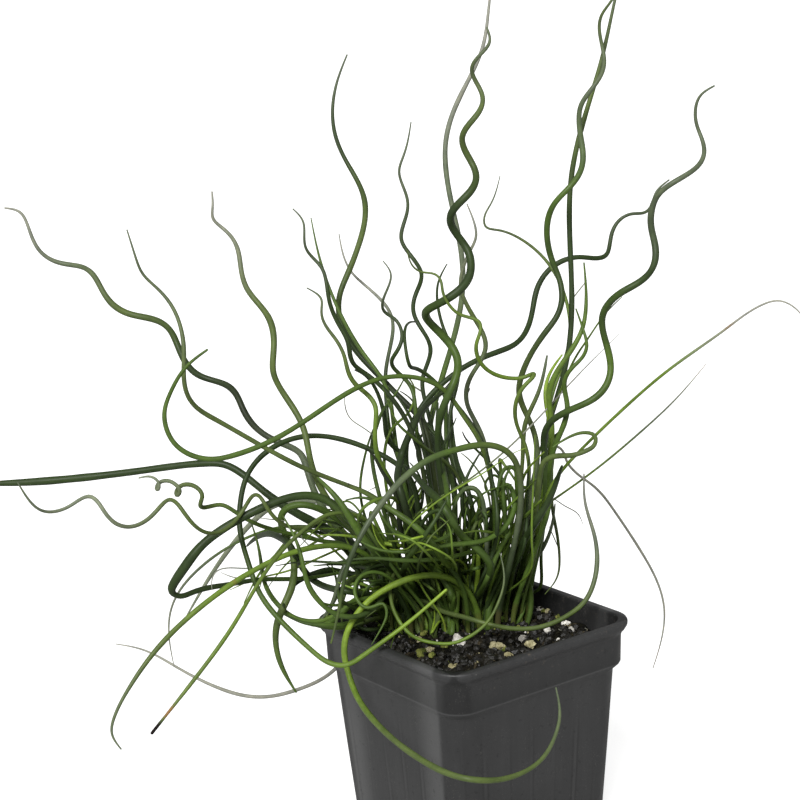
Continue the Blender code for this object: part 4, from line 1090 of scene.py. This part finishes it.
# how the finer strands stand to the stems in front, seen in the picture
pictureRules = {
    "near": 8.0,               # pixels within which a strand would cover a front stem
    "behind": 0.0036,          # how far it then slides behind that stem
    "spread": 3,               # points to each side that slide with it, and their easing
    "slideEase": 3.0,
    "heldPoints": 8,           # over which the slide sets in from the foot
    "depthReach": 7.0,         # pixels over which a route takes its depth from the stems
    "beforeReach": 12.0,       # pixels within which a front route passes before each stem
    "before": 0.0080,
    "passes": (1, 3),          # how often a route's depths are smoothed, and a front route's
    "nearer": 0.003,
    "rise": 0.010,             # how far a route's foot goes straight up
    "hairLift": 0.002,         # how much nearer a hair's tip is than its start
}


def behindFront(path, frontPixels, frontAway):
    # slides a strand away down the lines of sight where it would cover one of the front stems
    rules, (pixels, away) = pictureRules, toPicture(path)
    gaps = np.linalg.norm(frontPixels[None] - pixels[:, None], axis=-1)
    target = frontAway[None] + rules["behind"] - away[:, None]
    short = np.where(gaps < rules["near"], target, 0).max(1).clip(0)
    reach = range(-rules["spread"], rules["spread"] + 1)
    wide = np.stack([np.roll(short, k) for k in reach]).max(0)
    slide = smoothed(np.repeat(wide[:, None], 3, 1), rules["slideEase"])[:, 0].clip(0)
    slide = slide * np.clip(np.arange(len(path)) / rules["heldPoints"], 0, 1)
    return lensPlace + (path - lensPlace) * (1 + slide / away)[:, None]


def staysInside(path):
    # whether a finer stem keeps off the open side to the right of the clump
    pixels, _ = toPicture(path)
    rows, columns = np.array(threads["rightEdge"], float).T
    beyond = pixels[:, 0] > np.interp(pixels[:, 1], rows, columns)
    return not (beyond & (pixels[:, 1] > rows[0])).any()


def alongRoute(route, thick, cloudPixels, cloudAway, before):
    # a picture route, foot first, as deep as the stems it runs beside or just before the
    # nearest of them, on a foot in the crown
    rules, pixels = pictureRules, np.array(route[::-1], float)
    gaps = np.linalg.norm(cloudPixels[None] - pixels[:, None], axis=-1)
    weights = np.exp(-gaps / rules["depthReach"])
    away = (weights * cloudAway).sum(1) / weights.sum(1)
    if before:
        nearest = np.where(gaps < rules["beforeReach"], cloudAway, np.inf).min(1)
        away = np.minimum(away, nearest) - rules["before"]
    for _ in range(rules["passes"][before]):
        away[1:-1] = 0.25 * away[:-2] + 0.5 * away[1:-1] + 0.25 * away[2:]
    above = fromPicture(pixels, away - rules["nearer"])
    foot = footBelow(above[0])
    keys = np.concatenate([[foot, foot + (0, 0, rules["rise"])], above])
    path, _ = curveThrough(keys, np.zeros(len(keys)), threads["step"])
    width = taper(len(path), 0.001 * thick)
    return offPot(path, width), width, int(gaps.min(0).argmin())


def hairOn(route, thick, cloudPixels, cloudPoints):
    # a hair from the stem point nearest to the route's last pixel, drawn at that stem's distance
    pixels = np.array(route[::-1], float)
    nearest = int(np.linalg.norm(cloudPixels - pixels[0], axis=1).argmin())
    away = -((cloudPoints[nearest] - lensPlace) @ lensBack)
    closer = np.linspace(0, pictureRules["hairLift"], len(pixels))
    above = fromPicture(pixels, np.full(len(pixels), away) - closer)
    keys = np.concatenate([cloudPoints[nearest:nearest + 1], above[1:]])
    keys = np.concatenate([keys[:1], 0.5 * (keys[:1] + keys[1:2]), keys[1:]])
    path, _ = curveThrough(keys, np.zeros(len(keys)), threads["hairStep"])
    return path, taper(len(path), 0.001 * thick, 1.0), nearest


def namedStem(node, index):
    # a named stem's path and width from its solid, with a root in the soil and a soft swell:
    # width x (1 + swell x the product of two sines along the stem)
    random = np.random.default_rng(stemBuild["seeds"][0] + index)
    step, sunk = stemBuild["step"], stemBuild["sunk"]
    line, width = curveThrough(*ringLine(node), step)
    steps = np.arange(int(sunk / step), 0, -1)[:, None]
    root = line[0] - np.array([0, 0, 1.0]) * step * steps
    line = np.concatenate([root, line])
    width = np.concatenate([np.full(len(root), width[0]), width])
    run = np.arange(len(line)) * step
    first, second = stemBuild["swellWaves"]
    swell = np.sin(run * first + index) * np.sin(run * second + 2 * index)
    width = width * (1 + stemBuild["swell"] * swell)
    if node in stemWidths:
        shares, factors = np.array(stemWidths[node]).T
        width = width * np.interp(run / run[-1], shares, factors)
    sheath = random.uniform(*stemBuild["sheathLength"])
    inSheath = np.clip((sheath + sunk - run) / stemBuild["sheathEase"][0], 0, 1)
    dressed = width * (1 + (stemBuild["sheathWidth"] - 1) * inSheath)
    tones = stemTones.get(node, stemBuild["tones"])
    return line, width, strand(line, dressed, stemBuild["sides"], tones, random, 1.0,
                               stemMarks.get(node), sheath)


def finerStems(node, index, line, width, front):
    # the finer stems of one named stem: some beside it, some twined round it, some nest copies
    random = np.random.default_rng(stemBuild["seeds"][1] + index)
    kinds = ["upright"] * (threads["upright"]["count"] - (node in sparseStems))
    if node in twinedStems:
        kinds += ["twining"] * threads["twining"]["count"]
    copies, *turns = nestStems.get(node, (0, 0, 0))
    made = []
    for kind in kinds + ["nest"] * copies:
        path, thin = (nestCopy(line, width, turns, random) if kind == "nest"
                      else threadBeside(line, kind, random))
        path = behindFront(path, *front)
        choices = nestTones if kind == "nest" else threadTones
        tones = choices[int(random.integers(len(choices)))]
        if staysInside(path):
            made.append(strand(path, thin, threads["sides"], tones, random,
                               random.uniform(*threads["bright"])))
    return made


def makeStems():
    finish = rushMaterial()
    nodes = sorted(set(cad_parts) - {"pot", "soil"})
    lines, widths, strands = {}, {}, {}
    for index, node in enumerate(nodes):
        lines[node], widths[node], first = namedStem(node, index)
        strands[node] = [first]
    rooted = 6                 # points of each stem that are left out, near its root
    front = toPicture(np.concatenate([lines[node][rooted:] for node in frontStems]))
    lead = toPicture(np.concatenate([lines[node][int(share * len(lines[node])):]
                                     for node, share in leadStems.items()]))
    for index, node in enumerate(nodes):
        strands[node] += finerStems(node, index, lines[node], widths[node], front)

    cloud = np.concatenate([lines[node][rooted:] for node in nodes])
    owner = np.repeat(np.arange(len(nodes)), [len(lines[node]) - rooted for node in nodes])
    cloudPixels, cloudAway = toPicture(cloud)
    random = np.random.default_rng(stemBuild["seeds"][2])
    back = ~np.isin(owner, [nodes.index(node) for node in frontStems])
    for before, routes in ((False, routedThreads), (True, routedFront)):
        for route, thick, tones in routes:
            path, width, nearest = alongRoute(route, thick, cloudPixels[back], cloudAway[back],
                                              before)
            path = behindFront(path, *(lead if before else front))
            made = strand(path, width, threads["sides"], tones, random)
            strands[nodes[owner[back][nearest]]].append(made)
    for route, thick in routedHairs:
        path, width, nearest = hairOn(route, thick, cloudPixels, cloud)
        made = strand(path, width, threads["hairSides"], "grey wisp", random)
        strands[nodes[owner[nearest]]].append(made)
    for node in nodes:
        points, quads, triangles, attributes = joined(strands[node])
        mesh = meshFrom(node + "_skin", points, quads, triangles, attributes)
        addPiece(node + "_look", mesh, finish, (node,))
    print("stems:", sum(len(parts) for parts in strands.values()), "strands")


makeStems()


def potMaterial():
    made, tree, shader = newMaterial("mattBlackPlastic")
    look = potLook
    place = objectPlace(tree)
    x, y, z = axesOf(tree, place)[:3]
    sideX, sideY = calc(tree, "ABSOLUTE", x), calc(tree, "ABSOLUTE", y)
    least, most = calc(tree, "MINIMUM", sideX, sideY), calc(tree, "MAXIMUM", sideX, sideY)
    lateral = calc(tree, "DIVIDE", least, calc(tree, "ADD", most, 0.0001))
    outside = fadeBetween(tree, most, *look["outside"])
    # ribs: a peak at every odd multiple of the spacing along each face, only low on the outside,
    # each with painted highlight on its top and painted shade in a groove on both sides, broken
    # here and there
    spacing = look["ribSpacing"]
    peak = calc(tree, "PINGPONG", lateral, spacing)
    start, middle, stop = (limit * spacing for limit in look["grooveLimits"])
    low = times(tree, outside, less(tree, 1.0, fadeBetween(tree, z, *look["ribFade"])))
    ribs = fadeBetween(tree, peak, *(limit * spacing for limit in look["ribLimits"]))
    grooveShade = less(tree, fadeBetween(tree, peak, start, middle),
                  fadeBetween(tree, peak, middle, stop))
    drawn = stretched(tree, place, (1.0, 1.0, look["streakSqueeze"]))
    broken = fadeBetween(tree, noiseAt(tree, drawn, *look["breakNoise"]), *look["ribBreaks"])
    ribs, grooveShade = (times(tree, times(tree, mask, low), broken) for mask in (ribs, grooveShade))
    # a painted highlight: a thin light line along the band's lower edge
    bandFoot = potBuild["height"] - potBuild["bandHeight"]
    below, start, stop, above = (bandFoot + shift for shift in look["edgeLine"])
    edge = less(tree, fadeBetween(tree, z, below, start), fadeBetween(tree, z, stop, above))
    edge = times(tree, edge, outside)
    # painted sheen: a light strip beside each corner on the two faces across X, and painted shade
    # on the corner after it
    onX = calc(tree, "GREATER_THAN", sideX, sideY)
    past = fadeBetween(tree, lateral, *look["sheenEnd"])
    sheenStrip = less(tree, fadeBetween(tree, lateral, *look["sheenStart"]), past)
    sheenStrip = times(tree, calc(tree, "MAXIMUM", sheenStrip, 0.0), onX)
    shadeX = times(tree, past, onX)
    shadeY = times(tree, fadeBetween(tree, lateral, *look["cornerShade"]), less(tree, 1.0, onX))
    shade = times(tree, calc(tree, "ADD", shadeX, shadeY), look["shadeStrength"])
    onBand = times(tree, fadeBetween(tree, z, *look["bandFrom"]), look["bandLifted"])
    offBand = less(tree, 1.0, onBand)
    # streaks that run down the faces, soft clouds, dark flecks, dust and the rim's grime
    streaks = fadeBetween(tree, noiseAt(tree, drawn, *look["streakNoise"]), *look["streakLimits"])
    flecks = fadeBetween(tree, noiseAt(tree, place, *look["fleckNoise"]), *look["fleckLimits"])
    clouds = placeGroup(tree, groups["mottle"], {"Place": place, "Size": look["cloudSize"]})["Mask"]
    dust, grime = (placeGroup(tree, groups["dust"], {"Place": place, **look[kind]})["Mask"]
                   for kind in ("dust", "grime"))
    # painted shade: the inside wall below the rim darkened
    inside = times(tree, less(tree, 1.0, fadeBetween(tree, most, *look["insideWidths"])),
                   fadeBetween(tree, z, *look["insideHeights"]))
    colour = look["plastic"]
    # paler film on the streaks and clouds, and painted highlight on the sheen strip, the ribs and
    # the edge
    for mask, amount in zip((streaks, clouds, sheenStrip, ribs, edge), look["paler"]):
        colour = tinted(tree, mask, amount, colour, look["bloomAndHighlightColour"])
    # painted shade in the grooves, on the corners and on the inside wall, and dark flecks
    for mask, (amount, grey) in ((grooveShade, look["grooveShade"]), (shade, (offBand, look["shadeGrey"])),
                                 (flecks, look["flecks"]), (inside, look["inside"])):
        colour = tinted(tree, mask, amount, colour, (grey,) * 3, "MULTIPLY")
    colour = blendColour(tree, dust, colour, look["dustColour"])
    nearRim = fadeBetween(tree, z, *look["grimeHeights"])
    colour = tinted(tree, grime, nearRim, colour, look["grimeColour"])
    tree.links.new(colour, shader.inputs["Base Color"])
    plain, fromClouds, fromDust = look["roughness"]
    rough = calc(tree, "ADD", plain, times(tree, clouds, fromClouds))
    rough = calc(tree, "ADD", rough, times(tree, dust, fromDust))
    tree.links.new(rough, shader.inputs["Roughness"])
    shader.inputs["Specular IOR Level"].default_value = look["shine"]
    grain = noiseAt(tree, place, *look["grainNoise"])
    parts = [times(tree, mask, share) for mask, share in zip((grain, streaks, ribs),
                                                             look["bumpShares"])]
    height = calc(tree, "ADD", calc(tree, "ADD", parts[0], parts[1]), parts[2])
    bumpInto(tree, shader, height, *look["bump"])
    return made


def cutHoles(piece, places, radius, depth):
    # round holes through a piece, the result kept as its mesh and the cutters taken away
    cutters, sides = [], potBuild["drainSides"]
    angle = np.arange(sides) * 2 * math.pi / sides
    for x, y in places:
        ring = np.column_stack([x + radius * np.cos(angle), y + radius * np.sin(angle),
                                np.zeros(sides)])
        rings = np.concatenate([ring - (0, 0, depth), ring + (0, 0, depth)])
        poles = [[x, y, -depth], [x, y, depth]]
        mesh = meshFrom("holeCutter", np.concatenate([rings, poles]), *closedFaces(2, sides))
        cutter = newObject("holeCutter", mesh)
        cut = piece.modifiers.new("hole", "BOOLEAN")
        cut.operation, cut.object = "DIFFERENCE", cutter
        cutters.append(cutter)
    bpy.context.view_layer.update()
    evaluated = piece.evaluated_get(bpy.context.evaluated_depsgraph_get())
    made = bpy.data.meshes.new_from_object(evaluated)
    piece.modifiers.clear()
    piece.data = made
    for cutter in cutters:
        bpy.data.objects.remove(cutter)


def makePot():
    top, wall = potBuild["height"], potBuild["wall"]
    rim, band, low = potBuild["half"], potBuild["bandHalf"], potBuild["bandLowHalf"]
    body, foot = potBuild["bodyHalf"], potBuild["footHalf"]
    rimR, bandR, bodyR = (potBuild[k] for k in ("rimCorner", "bandCorner", "bodyCorner"))
    under, underR = potBuild["underHalf"], potBuild["underCorner"]
    bandFoot = top - potBuild["bandHeight"]
    stepFoot = bandFoot - potBuild["stepHeight"]
    lip = top - potBuild["lipHeight"]
    # half width, corner radius and height, from the underside up the outside and down the inside
    outline = [
        (under, underR, 0.0), (foot - 0.0012, bodyR - 0.0012, 0.0),
        (foot - 0.0003, bodyR - 0.0003, 0.0004), (foot, bodyR, 0.0012),
        (0.5 * (foot + body), bodyR, 0.5 * stepFoot),
        (body - 0.0001, bodyR, stepFoot - 0.0007), (body + 0.0002, bodyR, stepFoot + 0.0003),
        (low - 0.0003, bandR, bandFoot - 0.0005), (low, bandR, bandFoot + 0.0003),
        (band - 0.0001, bandR, lip - 0.0034), (band + 0.0002, bandR + 0.0003, lip - 0.0024),
        (band + 0.0008, bandR + 0.0010, lip - 0.0014),
        (band + 0.0017, bandR + 0.0021, lip - 0.0006),
        (rim - 0.0006, rimR - 0.0005, lip + 0.0003), (rim - 0.0001, rimR - 0.0001, lip + 0.0012),
        (rim, rimR, top - 0.0009), (rim - 0.0003, rimR - 0.0003, top - 0.0003),
        (rim - 0.0008, rimR - 0.0006, top - 0.0001),
        (rim - 0.0020, rimR - 0.0012, top), (band - wall + 0.0007, bandR, top),
        (band - wall + 0.0002, bandR - 0.0008, top - 0.0003),
        (band - wall, bandR - wall, top - 0.0009),
        (float(innerHalf(bandFoot)), bandR - wall, bandFoot),
        (float(innerHalf(stepFoot)), bodyR - wall, stepFoot),
        (float(innerHalf(wall)), bodyR - wall, wall), (under, underR, wall),
    ]
    rings = squareRings(*np.array(outline).T, potBuild["flatSteps"])
    points = np.concatenate([rings.reshape(-1, 3), [[0, 0, 0.0], [0, 0, wall]]])
    mesh = meshFrom("pot_skin", points, *closedFaces(*rings.shape[:2]))
    piece = addPiece("pot_look", mesh, potMaterial(), ("pot",))
    offset = potBuild["drainOffset"]
    places = [(x, y) for x in (-offset, offset) for y in (-offset, offset)]
    cutHoles(piece, places, potBuild["drainRadius"], potBuild["drainCut"])
    piece.data.set_sharp_from_angle(angle=math.radians(potBuild["sharpAngle"]))
    print("pot:", len(piece.data.vertices), "points")


makePot()


# chips that show, by kind: pixel column and row, and size in mm
soilChips = {
    "white": [(545, 612, 2.6), (575, 620, 2.2), (572, 629, 3.4), (548, 630, 2.8), (525, 640, 3.6),
              (507, 633, 2.4), (460, 645, 5.0), (536, 606, 1.8), (590, 616, 2.0), (559, 640, 1.8)],
    "tan": [(497, 648, 4.6), (531, 650, 3.6), (510, 658, 3.0), (475, 666, 3.2), (430, 650, 3.4),
            (418, 645, 3.0), (453, 668, 3.6), (562, 612, 2.4), (520, 622, 2.2)],
    "moss": [(412, 640, 3.4), (420, 655, 4.0), (424, 640, 3.0), (433, 658, 2.6), (444, 650, 2.6),
             (447, 662, 2.2), (486, 640, 2.0), (505, 652, 2.4), (518, 633, 2.2), (540, 641, 2.0),
             (555, 621, 2.4), (583, 611, 2.4), (567, 606, 2.0), (596, 621, 2.0)],
}
# each kind's darker colour, lighter colour and roughness
chipFinishes = {
    "white": ((0.36, 0.34, 0.29), (0.76, 0.74, 0.68), 0.8),
    "tan": ((0.16, 0.14, 0.06), (0.48, 0.44, 0.27), 0.8),
    "moss": ((0.045, 0.060, 0.010), (0.190, 0.200, 0.050), 0.9),
}
chipBuild = {
    "scale": 0.00122,          # metres for each mm of a chip, more than 0.001 as lumps are smaller
    "uneven": (0.8, 1.1),
    "lumps": 5,                # in a chip
    "crowding": 0.30,          # share of the chip by which they lie off its middle
    "lumpShare": (0.50, 0.85),
    "lift": 0.0003,
    "margin": 0.0042,          # from the pot's inside
    "ball": (7, 4),            # a lump's columns and rows of points
    "jitter": 0.16,
    "grains": 120,             # small ones between the chips, of all three kinds
    "grainSize": (0.0005, 0.0014),
    "grainUneven": (0.7, 1.1),
    "seeds": (65, 67),
}
# one white chip that crumbled to a ring
chipRing = {"pixel": (577, 619), "count": 9, "radius": 0.0016, "lift": 0.0006, "size": 0.0010}

mossCurls = {
    "pixels": [(566, 630), (585, 628), (579, 622)],
    "hairs": 5,
    "points": 14,
    "step": 0.00033,
    "bend": (2.0, 4.5),        # radians that a hair turns from end to end
    "rise": (0.25, 6),         # how steeply it goes up and down, and how often
    "spread": 0.0008,
    "radius": 0.00016,
    "lift": 0.0003,
    "margin": 0.0050,
    "seed": 71,
}

# bits strewn over the soil: sizes, how uneven and how flat they are, and their finish
looseBits = {
    "soil_crumbs": {"count": 3000, "size": (0.0003, 0.0015), "lift": 0.0002, "jitter": 0.22,
                    "ball": (5, 2), "seeds": (61, 62),
                    "finish": ("soilCrumbs", (0.003, 0.0027, 0.0018), (0.026, 0.023, 0.013), 0.9)},
    "soil_clods": {"count": 900, "size": (0.0016, 0.0052), "uneven": (0.5, 1.0),
                   "flat": (1.0, 1.0, 1.0), "lift": 0.0005, "jitter": 0.22, "ball": (6, 3),
                   "seeds": (69, 70), "finish": ("soilClods", (0.002, 0.0019, 0.0015),
                                                 (0.014, 0.012, 0.008), 0.5, 0.45)},
    "bark_chips": {"count": 170, "size": (0.0020, 0.0060), "uneven": (0.35, 1.0),
                   "flat": (1.0, 0.55, 0.32), "lift": 0.0005, "jitter": 0.15, "ball": (6, 3),
                   "seeds": (63, 64), "finish": ("barkChips", (0.006, 0.005, 0.0035),
                                                 (0.045, 0.036, 0.020), 0.7)},
}

soilLook = {
    "coarseSize": 260.0,
    "specks": {"Size": 1300.0, "Amount": 0.6},
    "speckLighter": 2.2,
    "shine": 0.12,
    "grainNoise": (2400.0, 4.0, 0.65),
    "bump": (0.6, 0.0003),     # strength and depth
}


def soilMaterial(name, dark, light, roughness, shine=soilLook["shine"]):
    # from the darker to the lighter colour in soft patches, with specks lighter still
    made, tree, shader = newMaterial(name)
    place = objectPlace(tree)
    coarse = placeGroup(tree, groups["mottle"],
                        {"Place": place, "Size": soilLook["coarseSize"]})["Mask"]
    specks = placeGroup(tree, groups["dust"], {"Place": place, **soilLook["specks"]})["Mask"]
    colour = blendColour(tree, coarse, dark, light)
    lighter = tuple(min(1, channel * soilLook["speckLighter"]) for channel in light)
    colour = blendColour(tree, specks, colour, lighter)
    tree.links.new(colour, shader.inputs["Base Color"])
    shader.inputs["Roughness"].default_value = roughness
    shader.inputs["Specular IOR Level"].default_value = shine
    bumpInto(tree, shader, noiseAt(tree, place, *soilLook["grainNoise"]), *soilLook["bump"])
    return made


def lumpsAt(places, sizes, seed, jitter, columns, rows):
    # each lump is a ball of a few rings whose points are pushed in and out at random, then
    # stretched and turned: direction x (1 + jitter) x size, rotated by a random quaternion
    random = np.random.default_rng(seed)
    polar = (np.arange(1, rows + 1) / (rows + 1) * math.pi)[:, None]
    angle = (np.arange(columns) / columns * 2 * math.pi)[None]
    ring = np.stack([np.sin(polar) * np.cos(angle), np.sin(polar) * np.sin(angle),
                     -np.cos(polar) * np.ones_like(angle)], -1).reshape(-1, 3)
    shape = np.concatenate([ring, [[0, 0, -1], [0, 0, 1]]])
    count = len(places)
    pushed = shape[None] * (1 + random.uniform(-jitter, jitter, (count, len(shape), 1)))
    pushed = pushed * sizes[:, None] * 0.5
    w, x, y, z = unit(random.normal(size=(count, 4))).T
    turn = np.stack([1 - 2 * (y * y + z * z), 2 * (x * y - z * w), 2 * (x * z + y * w),
                     2 * (x * y + z * w), 1 - 2 * (x * x + z * z), 2 * (y * z - x * w),
                     2 * (x * z - y * w), 2 * (y * z + x * w), 1 - 2 * (x * x + y * y)], -1)
    points = np.einsum("nij,nmj->nmi", turn.reshape(-1, 3, 3), pushed) + places[:, None]
    quads, triangles = closedFaces(rows, columns)
    starts = (np.arange(count) * len(shape))[:, None, None]
    return (points.reshape(-1, 3), (quads[None] + starts).reshape(-1, 4),
            (triangles[None] + starts).reshape(-1, 3))


def scattered(count, seed, lift):
    # even random places over the soil, at its height there
    random = np.random.default_rng(seed)
    half = float(innerHalf(studio["rimHeight"] - soilBuild["edgeDepth"])) - soilBuild["wallTop"]
    spot = random.uniform(-half, half, (count, 2))
    corner = np.clip(np.abs(spot) - (half - soilBuild["cornerReach"]), 0, None)
    spot = spot[np.linalg.norm(corner, axis=1) < soilBuild["cornerReach"]]
    return np.column_stack([spot, soilLevel(spot[:, 0], spot[:, 1]) + lift]), random


def keptInside(places, margin):
    # pulls places beyond the soil's rounded square back to just inside of it
    half, radius = float(innerHalf(studio["rimHeight"])) - margin, soilBuild["cornerRadius"]
    flat = np.abs(places[:, :2])
    past = np.clip(flat - (half - radius), 0, None)
    share = np.minimum(1, radius / (np.linalg.norm(past, axis=1, keepdims=True) + 1e-9))
    places[:, :2] = np.sign(places[:, :2]) * (np.minimum(flat, half - radius) + past * share)
    return places


def clustered(places, sizes, random):
    # popcorn: each chip is a few smaller lumps crowded round its middle
    crowd, count = chipBuild["crowding"], chipBuild["lumps"]
    shifts = random.uniform(-crowd, crowd, (len(places), count, 3)) * sizes[:, None]
    middles = (places[:, None] + shifts * (1, 1, 0.5)).reshape(-1, 3)
    smaller = random.uniform(*chipBuild["lumpShare"], (len(middles), 3))
    return middles, np.repeat(sizes, count, 0) * smaller


def strewBits(name, given):
    # bits of one kind in random places, each with its own width, depth and height
    places, random = scattered(given["count"], given["seeds"][0], given["lift"])
    if "uneven" in given:
        sizes = random.uniform(*given["size"], (len(places), 1))
        sizes = sizes * random.uniform(*given["uneven"], (len(places), 3)) * given["flat"]
    else:
        sizes = random.uniform(*given["size"], (len(places), 3))
    lumps = lumpsAt(places, sizes, given["seeds"][1], given["jitter"], *given["ball"])
    mesh = meshFrom(name, *lumps, smooth=False)
    addPiece(name, mesh, soilMaterial(*given["finish"]))


def addChips(surface):
    # the chips that show, each a cluster of lumps, with small grains of its kind between them
    places, random = scattered(chipBuild["grains"], chipBuild["seeds"][0], chipBuild["lift"])
    small = random.uniform(*chipBuild["grainSize"], (len(places), 1))
    small = small * random.uniform(*chipBuild["grainUneven"], (len(places), 3))
    for index, (kind, finish) in enumerate(chipFinishes.items()):
        chips = np.array(soilChips[kind], float)
        spots = keptInside(onLevel(chips[:, :2], surface), chipBuild["margin"])
        spots[:, 2] = soilLevel(spots[:, 0], spots[:, 1]) + chipBuild["lift"] * chips[:, 2]
        wide = random.uniform(*chipBuild["uneven"], (len(chips), 3))
        spots, wide = clustered(spots, chips[:, 2:] * chipBuild["scale"] * wide, random)
        if kind == "white":
            count = chipRing["count"]
            angle = np.arange(count) * 2 * math.pi / count
            ring = np.column_stack([chipRing["radius"] * np.cos(angle),
                                    chipRing["radius"] * np.sin(angle), np.zeros(count)])
            ring = keptInside(onLevel([chipRing["pixel"]], surface), chipBuild["margin"]) + ring
            ring[:, 2] = soilLevel(ring[:, 0], ring[:, 1]) + chipRing["lift"]
            spots = np.concatenate([spots, ring])
            wide = np.concatenate([wide, np.full((count, 3), chipRing["size"])])
        some = slice(index, None, len(chipFinishes))
        spots, wide = np.concatenate([spots, places[some]]), np.concatenate([wide, small[some]])
        lumps = lumpsAt(spots, wide, chipBuild["seeds"][1], chipBuild["jitter"], *chipBuild["ball"])
        mesh = meshFrom(kind + "_grains", *lumps, smooth=False)
        addPiece(kind + "_grains", mesh, soilMaterial(kind + "Grains", *finish))


def addMossCurls(surface):
    # pale curled moss: short hooked hairs that lie on the soil
    hairs, random, count = [], np.random.default_rng(mossCurls["seed"]), mossCurls["points"]
    at, (rise, turns) = np.linspace(0, 1, count), mossCurls["rise"]
    for spot in keptInside(onLevel(mossCurls["pixels"], surface), mossCurls["margin"]):
        for _ in range(mossCurls["hairs"]):
            turned = random.uniform(0, 2 * math.pi)
            bend = turned + at * random.uniform(*mossCurls["bend"])
            steps = np.stack([np.cos(bend), np.sin(bend), rise * np.cos(turns * at)], -1)
            start = spot + (*random.normal(0, mossCurls["spread"], 2), 0.0)
            path = start + np.cumsum(steps * mossCurls["step"], 0)
            path[:, 2] += soilLevel(path[:, 0], path[:, 1]) - surface + mossCurls["lift"]
            hairs.append(strand(path, np.full(count, mossCurls["radius"]), threads["hairSides"],
                                "straw wisp", random))
    points, quads, triangles, attributes = joined(hairs)
    addPiece("moss_curls", meshFrom("moss_curls", points, quads, triangles, attributes),
             bpy.data.materials["rushSkin"])


def makeSoil():
    low, gap = potBuild["wall"] + potBuild["fitGap"], potBuild["fitGap"]
    surface = studio["rimHeight"] - soilBuild["edgeDepth"]
    bandFoot = potBuild["height"] - potBuild["bandHeight"]
    sideHeights = np.array([low, bandFoot - potBuild["stepHeight"], bandFoot,
                            surface - soilBuild["wallTop"]])
    sides = squareRings(innerHalf(sideHeights) - gap, innerCorner(sideHeights) - gap, sideHeights,
                        soilBuild["flatSteps"])
    outer = squareRings([float(innerHalf(surface)) - gap], [float(innerCorner(surface)) - gap],
                        [surface], soilBuild["flatSteps"])[0]
    tops = outer[None] * np.linspace(*soilBuild["topShares"], soilBuild["rings"])[:, None, None]
    tops[..., 2] = soilLevel(tops[..., 0], tops[..., 1])
    rings = np.concatenate([sides, tops])
    poles = np.array([[0, 0, low], [0, 0, float(soilLevel(np.zeros(1), np.zeros(1))[0])]])
    points = np.concatenate([rings.reshape(-1, 3), poles])
    mesh = meshFrom("soil_skin", points, *closedFaces(*rings.shape[:2]))
    addPiece("soil_look", mesh, soilMaterial(*soilBuild["finish"]), ("soil",))
    for name, given in looseBits.items():
        strewBits(name, given)
    addChips(surface)
    addMossCurls(surface)
    print("soil:", len(rings), "rings")


makeSoil()

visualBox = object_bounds()
({"cad": [list(corner) for corner in cadBox],
           "visual": [list(corner) for corner in visualBox]})
